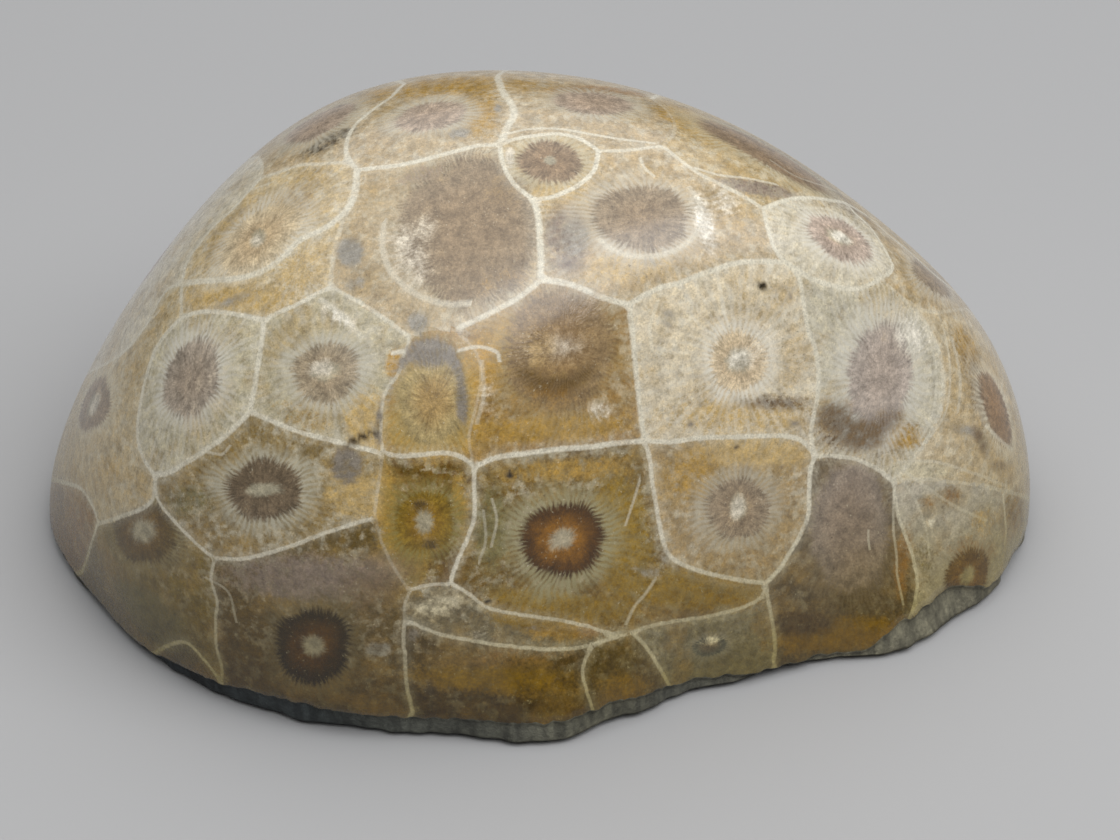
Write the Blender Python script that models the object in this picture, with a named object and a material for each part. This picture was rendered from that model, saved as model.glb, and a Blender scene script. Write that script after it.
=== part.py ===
"""Fossil coral head: one stone, a polished dome of colonial coral on its own rough, unpolished base.

The model is in metres with +Z up. +X runs along the stone's long side and -Y points to its front.
The origin is on the surface that the stone rests on, under the middle of its bounding box.
Every point of the surface is seen from one centre inside the stone, so the whole form is one
function: how far the surface is from that centre in a given direction.
"""

import math

import bmesh
import bpy
from mathutils import Vector, noise

MM = 0.001

# The rounded body, before it was ground: half sizes about its centre, in millimetres.
GIRTH_HEIGHT = 9.0  # the centre stands this high above the surface that the stone rests on
HALF_LENGTH = 54.6
HALF_DEPTH = 38.4
CROWN_RISE = 42.5
UNDERCUT_DROP = 34.0  # a large value keeps the side nearly upright below the girth

# Broad, soft faces left by grinding: azimuth and tilt of the outward direction in degrees, with
# azimuth 0 at +X and 90 at the back, and distance from the centre in millimetres.
GROUND_FACES = (
    (159, 31, 43.1),  # long slope down to the left
    (42, 46, 39.4),  # right shoulder
    (16, 34, 49.2),  # below the right shoulder
    (6, 12, 53.0),  # steep right end
    (-27, 6, 50.8),  # front right corner
    (-64, 10, 31.4),  # front right
    (-155, 8, 48.8),  # front left
    (93, 54, 41.4),  # back of the crown
)
FACE_SHARPNESS = 10.0  # higher makes the edges between the faces tighter
SWELL = 0.35  # slow rise and fall that hand polishing leaves, in millimetres
SWELL_SPACING = 24.0

# How far the foot of the stone stands out beyond the rounded body, fading out at the height
# below: azimuth, millimetres. The front has two blunt corners with a hollow between them.
STANDS_OUT = (
    (-180, 0.2),
    (-160, -1.0),
    (-146, -0.5),
    (-135, 0.3),
    (-120, 0.8),
    (-106, 0.2),
    (-86, 3.5),
    (-76, 2.1),
    (-64, -0.1),
    (-52, 0.7),
    (-42, 1.0),
    (-31, 4.3),
    (-20, 1.9),
    (-8, 0.0),
    (30, 0.2),
    (180, 0.2),
)
STANDS_OUT_BELOW = 12.0

# Height of the edge where the polish ends and the broken rock begins: azimuth, millimetres.
POLISH_ENDS = (
    (-180, 1.6),
    (-150, 1.4),
    (-138, 2.5),
    (-126, 3.3),
    (-104, 3.0),
    (-88, 2.8),
    (-78, 3.1),
    (-62, 2.0),
    (-52, 1.4),
    (-37, 1.3),
    (-31, 3.6),
    (-22, 4.2),
    (-16, 2.0),
    (30, 2.2),
    (80, 4.4),
    (125, 3.0),
    (180, 1.6),
)
BREAK_DEPTH = 0.6  # how far the broken band steps in behind the polish
BAND_LUMPS = 0.7
BAND_SPACING = 6.0

# The underside: coarse broken rock whose high spots are worn flat where it stands.
UNDERSIDE_LUMPS = 2.2
UNDERSIDE_SPACING = 11.0
WORN_SHARE = 0.05  # moves the lumps down, so that more of them are worn flat
WORN_MIDDLE = 8.0  # the middle is worn flat out to this radius, and the relief grows beyond it
CHIPPED_EDGE = 1.2  # how far the lower edge is chipped up
CHIPPED_WIDTH = 5.0
FOOT_HEIGHT = 0.6  # where the band ends and the underside begins

SEGMENTS = 84
DOME_RINGS = 20
BAND_RINGS = 3
UNDERSIDE_RINGS = 17

NAME = "fossil_coral_head"
TAN_LIMESTONE = (0.33, 0.25, 0.14, 1.0)


def facing(azimuth, tilt):
    """The unit direction with this azimuth and tilt, in degrees."""
    azimuth, tilt = math.radians(azimuth), math.radians(tilt)
    level = math.cos(tilt)
    return Vector((level * math.cos(azimuth), level * math.sin(azimuth), math.sin(tilt)))


def smoothstep(value):
    value = min(max(value, 0.0), 1.0)
    return value * value * (3.0 - 2.0 * value)


def eased(table, azimuth):
    """A table's value at an azimuth in degrees, eased between its points."""
    for (start, low), (end, high) in zip(table, table[1:]):
        if azimuth <= end:
            return low + (high - low) * smoothstep((azimuth - start) / (end - start))
    return table[-1][1]


def dome_distance(direction, faces):
    """Distance in millimetres from the centre to the ground and polished surface."""
    rise = CROWN_RISE if direction.z > 0 else UNDERCUT_DROP
    body = math.hypot(direction.x / HALF_LENGTH, direction.y / HALF_DEPTH, direction.z / rise)
    total = body**FACE_SHARPNESS
    for normal, distance in faces:
        total += (max(direction.dot(normal), 0.0) / distance) ** FACE_SHARPNESS
    reach = total ** (-1.0 / FACE_SHARPNESS)
    height = GIRTH_HEIGHT + direction.z * reach
    azimuth = math.degrees(math.atan2(direction.y, direction.x))
    reach += eased(STANDS_OUT, azimuth) * smoothstep(1.0 - height / STANDS_OUT_BELOW)
    return reach + SWELL * noise.noise(direction * (reach / SWELL_SPACING))


def latitude_at_height(azimuth, height, faces):
    """The tilt, in radians, at which the polished surface reaches a height."""
    low, high = math.radians(-60.0), math.radians(60.0)
    for _ in range(40):
        middle = (low + high) / 2
        direction = facing(azimuth, math.degrees(middle))
        if GIRTH_HEIGHT + direction.z * dome_distance(direction, faces) > height:
            high = middle
        else:
            low = middle
    return (low + high) / 2


def underside_height(x, y, inside):
    """Height of the broken underside; inside is how far the point is from its outline."""
    lumps = noise.noise(Vector((x, y, 0.0)) / UNDERSIDE_SPACING)
    lumps += 0.3 * noise.noise(Vector((x, y, 40.0)) * (2.1 / UNDERSIDE_SPACING))
    lumps *= smoothstep(math.hypot(x, y) / WORN_MIDDLE - 1.0)
    chip = CHIPPED_EDGE * (1.0 - smoothstep(inside / CHIPPED_WIDTH))
    return max(UNDERSIDE_LUMPS * (lumps - WORN_SHARE) + chip, 0.0)


def side_point(azimuth, latitude, faces, polish_latitude):
    """A point of the dome or of the broken band below it, in millimetres."""
    direction = facing(azimuth, math.degrees(latitude))
    reach = dome_distance(direction, faces)
    below = (polish_latitude - latitude) * reach
    if below > 0.0:
        lumps = noise.noise(direction * (reach / BAND_SPACING))
        reach -= smoothstep(below / BREAK_DEPTH) * (BREAK_DEPTH - BAND_LUMPS * lumps)
    return direction * reach + Vector((0.0, 0.0, GIRTH_HEIGHT))


def underside_point(foot, share):
    """A point of the underside: share is 1 at its outline, at the foot point, and 0 in the middle."""
    x, y = foot.x * share, foot.y * share
    inside = math.hypot(foot.x, foot.y) * (1.0 - share)
    return Vector((x, y, underside_height(x, y, inside)))


def make_stone(collection):
    """A sphere whose every ring is moved to its own place on the stone."""
    rings = DOME_RINGS + BAND_RINGS + UNDERSIDE_RINGS
    mesh = bpy.data.meshes.new(NAME)
    shape = bmesh.new()
    bmesh.ops.create_uvsphere(shape, u_segments=SEGMENTS, v_segments=rings, radius=1.0)
    faces = [(facing(azimuth, tilt), distance) for azimuth, tilt, distance in GROUND_FACES]
    for vertex in shape.verts:
        ring = round(math.acos(min(max(vertex.co.z, -1.0), 1.0)) * rings / math.pi)
        azimuth = 0.0
        if 0 < ring < rings:
            azimuth = math.degrees(math.atan2(vertex.co.y, vertex.co.x))
        polish = latitude_at_height(azimuth, eased(POLISH_ENDS, azimuth), faces)
        foot = latitude_at_height(azimuth, FOOT_HEIGHT, faces)
        if ring <= DOME_RINGS:
            latitude = math.pi / 2 - (math.pi / 2 - polish) * ring / DOME_RINGS
        else:
            band_share = min((ring - DOME_RINGS) / BAND_RINGS, 1.0)
            latitude = polish + (foot - polish) * band_share
        point = side_point(azimuth, latitude, faces, polish)
        if ring > DOME_RINGS + BAND_RINGS:
            point = underside_point(point, (rings - ring) / UNDERSIDE_RINGS)
        vertex.co = point * MM
    bmesh.ops.triangulate(shape, faces=shape.faces)
    bmesh.ops.recalc_face_normals(shape, faces=shape.faces)
    middle_x = (min(v.co.x for v in shape.verts) + max(v.co.x for v in shape.verts)) / 2
    middle_y = (min(v.co.y for v in shape.verts) + max(v.co.y for v in shape.verts)) / 2
    for vertex in shape.verts:
        vertex.co -= Vector((middle_x, middle_y, 0.0))
    shape.to_mesh(mesh)
    shape.free()
    mesh.shade_smooth()
    stone = bpy.data.objects.new(NAME, mesh)
    collection.objects.link(stone)
    return stone


def polished_limestone():
    material = bpy.data.materials.new("Polished coral limestone")
    material.use_nodes = True
    shader = material.node_tree.nodes["Principled BSDF"]
    shader.inputs["Base Color"].default_value = TAN_LIMESTONE
    shader.inputs["Roughness"].default_value = 0.2
    shader.inputs["Metallic"].default_value = 0.0
    return material


def main():
    for old in list(bpy.data.objects):
        bpy.data.objects.remove(old)
    collection = bpy.data.collections.new("Fossil coral head")
    bpy.context.scene.collection.children.link(collection)
    stone = make_stone(collection)
    stone.data.materials.append(polished_limestone())


main()
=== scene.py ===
# %% [markdown]
# # A polished fossil coral head
#
# A colony of stony coral turned to limestone, then ground and polished to show its corallites:
# the cups that single polyps lived in, cut through like the cells of a honeycomb. It is one
# natural stone, so it is one mesh here. First the solid model is loaded, because the visual model
# has to fit exactly where it is. Everything is worked out in millimetres.

import math

import bmesh
import bpy
import numpy as np
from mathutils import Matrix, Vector, kdtree, noise
from mathutils.bvhtree import BVHTree


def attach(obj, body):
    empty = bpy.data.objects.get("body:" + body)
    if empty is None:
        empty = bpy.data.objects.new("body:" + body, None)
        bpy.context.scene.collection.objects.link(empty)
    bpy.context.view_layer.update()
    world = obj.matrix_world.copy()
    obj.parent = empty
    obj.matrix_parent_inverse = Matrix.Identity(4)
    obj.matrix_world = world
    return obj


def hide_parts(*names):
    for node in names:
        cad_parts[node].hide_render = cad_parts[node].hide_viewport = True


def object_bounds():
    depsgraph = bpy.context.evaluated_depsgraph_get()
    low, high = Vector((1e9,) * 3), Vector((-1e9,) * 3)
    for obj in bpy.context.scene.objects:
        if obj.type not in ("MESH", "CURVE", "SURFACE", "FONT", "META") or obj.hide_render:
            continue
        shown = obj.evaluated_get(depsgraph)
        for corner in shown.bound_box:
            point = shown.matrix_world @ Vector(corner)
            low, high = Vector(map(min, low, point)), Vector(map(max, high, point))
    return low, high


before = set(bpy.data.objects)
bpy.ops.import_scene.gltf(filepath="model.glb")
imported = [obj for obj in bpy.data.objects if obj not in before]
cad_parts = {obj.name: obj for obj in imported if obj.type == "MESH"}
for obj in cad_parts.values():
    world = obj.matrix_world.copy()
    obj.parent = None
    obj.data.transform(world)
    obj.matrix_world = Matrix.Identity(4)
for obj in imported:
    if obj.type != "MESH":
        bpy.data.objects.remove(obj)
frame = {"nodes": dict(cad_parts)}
cad_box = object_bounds()
MM = 0.001
CAD_NODE = "fossil_coral_head"
cad = bpy.data.objects[CAD_NODE]
bpy.ops.object.select_all(action="DESELECT")
print("solid model:", cad_box)

# %% [markdown]
# ## The form
#
# The stone was a rounded lump that grinding gave a few broad, soft faces. Every point of its
# surface can be seen from one centre inside it, so the form is one function: how far the surface
# is in a given direction. Sculpting by hand would also do, but the function repeats the solid
# model's own formula, so the two agree, and it can be asked for a point anywhere.

# %% The distance function
GIRTH_HEIGHT = 9.0
HALF_SIZES = (54.6, 38.4)
CROWN_RISE, UNDERCUT_DROP = 42.5, 34.0
GROUND_FACES = (  # azimuth and tilt in degrees, distance in millimetres
    (159, 31, 43.1), (42, 46, 39.4), (16, 34, 49.2), (6, 12, 53.0), (-27, 6, 50.8),
    (-64, 10, 31.4), (-155, 8, 48.8), (93, 54, 41.4),
)
STANDS_OUT = (  # how far the foot stands out: azimuth, millimetres
    (-180, 0.2), (-160, -1.0), (-146, -0.5), (-135, 0.3), (-120, 0.8), (-106, 0.2), (-86, 3.5),
    (-76, 2.1), (-64, -0.1), (-52, 0.7), (-42, 1.0), (-31, 4.3), (-20, 1.9), (-8, 0.0),
    (30, 0.2), (180, 0.2),
)
STANDS_OUT_BELOW = 12.0
FACE_SHARPNESS = 10.0
SWELL, SWELL_SPACING = 0.35, 24.0


def facing(azimuth, tilt):
    """Unit directions with these azimuths and tilts, in degrees, as an array of rows."""
    azimuth, tilt = np.radians(azimuth), np.radians(tilt)
    level = np.cos(tilt)
    return np.stack([level * np.cos(azimuth), level * np.sin(azimuth), np.sin(tilt)], axis=-1)


def noise_at(points):
    """Blender's smooth noise, from -1 to 1, at each row of points."""
    return np.array([noise.noise(point) for point in points.tolist()])


def smoothstep(value, low=0.0, high=1.0):
    value = np.clip((value - low) / (high - low), 0.0, 1.0)
    return value * value * (3.0 - 2.0 * value)


FACE_NORMALS = facing(*np.array([face[:2] for face in GROUND_FACES], float).T)
FACE_REACH = np.array([face[2] for face in GROUND_FACES])


def eased(table, azimuth):
    """A table's values at azimuths in degrees, eased between its points."""
    table = np.array(table, float)
    span = np.clip(np.searchsorted(table[:, 0], azimuth) - 1, 0, len(table) - 2)
    share = smoothstep((azimuth - table[span, 0]) / (table[span + 1, 0] - table[span, 0]))
    return table[span, 1] + (table[span + 1, 1] - table[span, 1]) * share


def dome_distance(direction):
    """Distance in millimetres from the centre to the ground and polished surface."""
    rise = np.where(direction[:, 2] > 0, CROWN_RISE, UNDERCUT_DROP)
    halves = (*HALF_SIZES, rise)
    body = np.sqrt(sum((direction[:, i] / half) ** 2 for i, half in enumerate(halves)))
    faces = np.maximum(direction @ FACE_NORMALS.T, 0.0) / FACE_REACH
    reach = (body**FACE_SHARPNESS + (faces**FACE_SHARPNESS).sum(axis=1)) ** (-1.0 / FACE_SHARPNESS)
    height = GIRTH_HEIGHT + direction[:, 2] * reach
    azimuth = np.degrees(np.arctan2(direction[:, 1], direction[:, 0]))
    reach = reach + eased(STANDS_OUT, azimuth) * smoothstep(1.0 - height / STANDS_OUT_BELOW)
    return reach + SWELL * noise_at(direction * (reach / SWELL_SPACING)[:, None])


print("distance to the crown:", dome_distance(facing(0.0, 90.0)[None]).round(2))

# %% [markdown]
# ## The polish, the broken band and the underside
#
# The polish ends a few millimetres above the ground, in an uneven line. Below it the rock is
# broken: a ribbed band, then a lumpy underside whose high spots are worn flat where it stands.
# Rings can follow that uneven line exactly, where an even grid would cut it into steps. So the
# start is a closed cylinder with fan caps, its side cut into rings, and each ring is then moved to
# its own level on the stone. A sphere primitive has the same rings, but Blender makes a fine one
# slowly.

# %% Where the polish ends
POLISH_ENDS = (  # azimuth in degrees, height in millimetres
    (-180, 1.6), (-150, 1.4), (-138, 2.5), (-126, 3.3), (-104, 3.0), (-88, 2.8), (-78, 3.1),
    (-62, 2.0), (-52, 1.4), (-37, 1.3), (-31, 3.6), (-22, 4.2), (-16, 2.0), (30, 2.2),
    (80, 4.4), (125, 3.0), (180, 1.6),
)
FOOT_HEIGHT = 0.6
EDGE_CHIPS = 0.35  # the line is also nibbled by small chips, in millimetres
CHIPS_ROUND = 40.0  # how fast the chips change round the stone
STEEPEST, HALVINGS = 60.0, 24  # the polish ends within this many degrees of level


def latitude_at_height(azimuth, height):
    """The tilt in degrees at which the polished surface reaches a height, found by halving."""
    low, high = np.full(len(azimuth), -STEEPEST), np.full(len(azimuth), STEEPEST)
    for _ in range(HALVINGS):
        middle = (low + high) / 2
        direction = facing(azimuth, middle)
        above = GIRTH_HEIGHT + direction[:, 2] * dome_distance(direction) > height
        high, low = np.where(above, middle, high), np.where(above, low, middle)
    return (low + high) / 2


# %% A cylinder cut into rings
SEGMENTS = 560
DOME_RINGS, BAND_RINGS, UNDERSIDE_RINGS = 114, 12, 44
RINGS = DOME_RINGS + BAND_RINGS + UNDERSIDE_RINGS
CUTS = (11, 13)  # twelve parts, with fourteen in each; the two fans make that up to RINGS

bpy.ops.mesh.primitive_cylinder_add(vertices=SEGMENTS, radius=1.0, depth=2.0,
                                    end_fill_type="TRIFAN")
stone = bpy.context.object
stone.name = stone.data.name = "coral_stone"
bpy.ops.object.mode_set(mode="EDIT")
bpy.ops.mesh.select_mode(type="EDGE")
for cuts in CUTS:
    bpy.ops.mesh.select_all(action="DESELECT")
    shape = bmesh.from_edit_mesh(stone.data)
    for edge in shape.edges:
        edge.select_set(abs(edge.verts[0].co.z - edge.verts[1].co.z) > 1e-4)
    bmesh.update_edit_mesh(stone.data)
    bpy.ops.mesh.subdivide(number_cuts=cuts)
bpy.ops.object.mode_set(mode="OBJECT")

start = np.empty(len(stone.data.vertices) * 3)
stone.data.vertices.foreach_get("co", start)
start = start.reshape(-1, 3)
is_pole = np.hypot(start[:, 0], start[:, 1]) < 0.5
ring = 1 + np.round((1.0 - start[:, 2]) / 2 * (RINGS - 2)).astype(int)
ring[is_pole] = np.where(start[is_pole, 2] > 0, 0, RINGS)
azimuth = np.where(is_pole, 0.0, np.degrees(np.arctan2(start[:, 1], start[:, 0])))
print("cylinder:", len(start), "vertices in", RINGS - 1, "rings and two poles")

# %% Each ring moved to its place on the dome and the band
BREAK_DEPTH = 0.6  # the band steps in behind the polish by this much
BAND_LUMPS, BAND_SPACING = 0.7, 6.0
RIB_DEPTH, RIB_SPACING = 0.28, 1.9  # upright ribs: coral walls seen from the side
RIB_DRAWN_OUT = 0.22  # with height they change at this share of their pace sideways

keys, column = np.unique(np.round(azimuth, 3), return_inverse=True)
chips = EDGE_CHIPS * noise_at(facing(keys, 0.0 * keys) * CHIPS_ROUND)
polish = latitude_at_height(keys, eased(POLISH_ENDS, keys) + chips)[column]
foot = latitude_at_height(keys, 0.0 * keys + FOOT_HEIGHT)[column]
band_share = np.clip((ring - DOME_RINGS) / BAND_RINGS, 0.0, 1.0)
latitude = np.where(ring <= DOME_RINGS, 90 - (90 - polish) * ring / DOME_RINGS,
                    polish + (foot - polish) * band_share)
direction = facing(azimuth, latitude)
reach = dome_distance(direction)
below = np.radians(polish - latitude) * reach
lumps = noise_at(direction * (reach / BAND_SPACING)[:, None])
ribs = noise_at(direction * reach[:, None] * np.array([1.0, 1.0, RIB_DRAWN_OUT]) / RIB_SPACING)
broken = smoothstep(below / BREAK_DEPTH)
reach -= broken * (BREAK_DEPTH - BAND_LUMPS * lumps - RIB_DEPTH * ribs)
side = direction * reach[:, None] + [0.0, 0.0, GIRTH_HEIGHT]
print("band: up to", round(float(below.max()), 2), "mm below the polish")

# %% The underside
UNDERSIDE_LUMPS, UNDERSIDE_SPACING = 2.2, 11.0
WORN_SHARE, WORN_MIDDLE = 0.05, 8.0
CHIPPED_EDGE, CHIPPED_WIDTH = 1.2, 5.0
# Finer lumps: their share of the height, times finer, and the level their noise is read at
FINER_LUMPS, FINER_BY, FINER_LEVEL = 0.3, 2.1, 40.0
GRIT, GRIT_SPACING = 0.35, 2.6  # the smallest lumps of the broken rock
GRIT_FULL = 0.6  # the grit fades out below this height, in millimetres

share = np.clip((RINGS - ring) / UNDERSIDE_RINGS, 0.0, 1.0)[:, None]
flat = side[:, :2] * share
across = np.hypot(side[:, 0], side[:, 1])
out = np.hypot(flat[:, 0], flat[:, 1])
level = np.column_stack([flat, np.zeros(len(flat))])
rough = noise_at(level / UNDERSIDE_SPACING)
finer = noise_at((level + [0, 0, FINER_LEVEL]) * FINER_BY / UNDERSIDE_SPACING)
rough += FINER_LUMPS * finer
rough = UNDERSIDE_LUMPS * (rough * smoothstep(out / WORN_MIDDLE - 1.0) - WORN_SHARE)
chip = CHIPPED_EDGE * (1.0 - smoothstep((across - out) / CHIPPED_WIDTH))
grit = GRIT * noise_at(level / GRIT_SPACING) * smoothstep(rough + chip, 0.0, GRIT_FULL)
under = np.column_stack([flat, np.maximum(rough + chip + grit, 0.0)])
is_under = ring > DOME_RINGS + BAND_RINGS
form = np.where(is_under[:, None], under, side)
print("underside: lumps up to", round(float(under[is_under, 2].max()), 2), "mm")

# %% Fit it inside the solid model's box
INSIDE = 0.02  # clearance, so that rounding never takes it outside
COMPARE_EVERY = 23  # points, when the form is compared with the solid

low, high = np.array(cad_box[0]) / MM, np.array(cad_box[1]) / MM
shift = -(form[:, :2].min(axis=0) + form[:, :2].max(axis=0)) / 2
form[:, :2] += shift
fit = np.minimum(1.0, (high - low - 2 * INSIDE)[:2] / np.ptp(form[:, :2], axis=0))
form[:, :2] *= fit
form[:, 2] = np.minimum(form[:, 2], high[2] - INSIDE)
centre = np.array([*(shift * fit), GIRTH_HEIGHT])
stone.data.vertices.foreach_set("co", (form * MM).ravel())
stone.data.update()
bpy.ops.object.mode_set(mode="EDIT")
bpy.ops.mesh.select_all(action="SELECT")
bpy.ops.mesh.normals_make_consistent(inside=False)
bpy.ops.object.mode_set(mode="OBJECT")
bpy.ops.object.shade_smooth()

tree = BVHTree.FromPolygons([tuple(v.co) for v in cad.data.vertices],
                            [tuple(f.vertices) for f in cad.data.polygons])
gaps = [tree.find_nearest(Vector(point * MM))[3] / MM for point in form[::COMPARE_EVERY]]
print("shift", shift.round(3), "fit", fit.round(4))
print("furthest from the solid:", round(max(gaps), 3), "mm")

# %% [markdown]
# ## The camera
#
# A long lens half a metre away, 33 degrees above level, looking straight along the depth.

# %% Camera
CAMERA_TILT = 33.0
CAMERA_AWAY = 500.0
LENS, SENSOR = 160.7, 36.0
LOOKS_AT = np.array([2.1, -1.3, 13.5])
RIGHT = np.array([1.0, 0.0, 0.0])
UP = np.array([0.0, math.sin(math.radians(CAMERA_TILT)), math.cos(math.radians(CAMERA_TILT))])
TOWARDS = np.cross(RIGHT, UP)  # from the stone to the camera
EYE = LOOKS_AT + CAMERA_AWAY * TOWARDS

bpy.ops.object.camera_add(location=EYE * MM, rotation=(math.radians(90 - CAMERA_TILT), 0, 0))
camera = bpy.context.object
camera.data.lens, camera.data.sensor_width = LENS, SENSOR
camera.data.clip_start, camera.data.clip_end = 0.01, 10.0
bpy.context.scene.camera = camera
print("camera at", (EYE * MM).round(4), "towards", TOWARDS.round(3))

# %% [markdown]
# ## The cells
#
# Each polyp had its own walled cup. On the polished stone the walls are thin cream lines that meet
# three at a time, so the pattern is drawn as a net: junctions, the walls between them with the
# bends they take, and the cells as loops of junctions. Random Voronoi cells would be quicker, but
# real cells differ a lot, and a net lets each have its own outline. Junctions and bends are places
# as seen from the camera, in tenths of a millimetre at the stone: across from the left and down
# from the top of a plate 112 by 84 millimetres. Junctions out of sight are given by bearing and
# angle from the line of sight instead. The cells of the far side have no drawn walls: each part
# of the stone there belongs to the nearest cell.

# %% Places on the stone
PLATE_CENTRE = (560.0, 420.0)
PER_MM = 10.0

stone_tree = BVHTree.FromPolygons([tuple(p) for p in form.tolist()],
                                  [tuple(f.vertices) for f in stone.data.polygons])


def line_of_sight(x, y):
    """Direction from the eye through a place on the plate."""
    across, up = (x - PLATE_CENTRE[0]) / PER_MM, (PLATE_CENTRE[1] - y) / PER_MM
    return Vector(-CAMERA_AWAY * TOWARDS + across * RIGHT + up * UP).normalized()


DRAWN_TO, DRAWN_STEP = (540.0, 430.0), 0.004  # towards here, by this share at a time


def on_stone(x, y):
    """The point of the stone seen at a place; a place just past the outline is drawn in."""
    while True:
        hit = stone_tree.ray_cast(Vector(EYE), line_of_sight(x, y))
        if hit[0] is not None:
            return np.array(hit[0]), np.array(hit[1])
        x, y = x + (DRAWN_TO[0] - x) * DRAWN_STEP, y + (DRAWN_TO[1] - y) * DRAWN_STEP


def to_chart(points):
    """Flat map of directions from the centre: distance from the middle is the angle in degrees
    from the line of sight, and the way out is the bearing."""
    way = points - centre
    way = way / np.linalg.norm(way, axis=-1, keepdims=True)
    off = np.degrees(np.arccos(np.clip(way @ TOWARDS, -1.0, 1.0)))
    bearing = np.arctan2(way @ UP, way @ RIGHT)
    return np.stack([off * np.cos(bearing), off * np.sin(bearing)], axis=-1)


def from_chart(places):
    """Points of the polished surface at places of the flat map."""
    off, bearing = np.radians(np.hypot(*places.T)), np.arctan2(places[:, 1], places[:, 0])
    way = (np.cos(off)[:, None] * TOWARDS + (np.sin(off) * np.cos(bearing))[:, None] * RIGHT
           + (np.sin(off) * np.sin(bearing))[:, None] * UP)
    return centre + way * dome_distance(way)[:, None]


# %% Junctions
JUNCTIONS = {
    1: (357, 170), 2: (182, 283), 3: (182, 317), 4: (264, 320), 5: (332, 287), 6: (250, 412),
    7: (155, 475), 8: (410, 337), 9: (455, 330), 10: (541, 280), 11: (533, 199), 12: (500, 145),
    13: (599, 151), 14: (629, 305), 15: (785, 262), 16: (763, 209), 17: (893, 266),
    18: (645, 441), 19: (815, 456), 20: (475, 467), 21: (383, 453), 22: (766, 583),
    23: (632, 632), 24: (375, 518), 25: (410, 590), 26: (450, 584), 27: (215, 558),
    28: (405, 620), 29: (600, 642), 30: (98, 524), 31: (846, 203), 32: (905, 300),
    33: (663, 146), 34: (262, 177), 35: (893, 482), 36: (880, 279), 37: (345, 213),
    # where walls pass out of sight
    41: (404, 84), 42: (497, 77), 43: (652, 99), 44: (960, 297), 45: (967, 309),
    46: (1026, 497), 47: (258, 157), 48: (84, 373), 49: (57, 480), 50: (82, 572),
    51: (158, 652), 52: (222, 684), 53: (413, 712), 54: (595, 714), 55: (672, 690),
    56: (773, 667), 57: (905, 640),
}
HIDDEN_JUNCTIONS = {  # bearing from the right, counter-clockwise, and angle, in degrees
    61: (112, 84), 62: (94, 81), 63: (71, 82), 64: (24, 92), 65: (15, 97), 66: (-6, 101),
    67: (137, 86), 68: (166, 95), 69: (183, 104), 70: (195, 110), 71: (206, 98),
    72: (216, 92), 73: (243, 78), 74: (282, 75), 75: (300, 75), 76: (318, 78), 77: (333, 86),
    78: (47, 83),
}
place_of = {name: to_chart(on_stone(x, y)[0]) for name, (x, y) in JUNCTIONS.items()}
for name, (bearing, off) in HIDDEN_JUNCTIONS.items():
    turn = math.radians(bearing)
    place_of[name] = np.array([off * math.cos(turn), off * math.sin(turn)])
print(len(place_of), "junctions")

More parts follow.
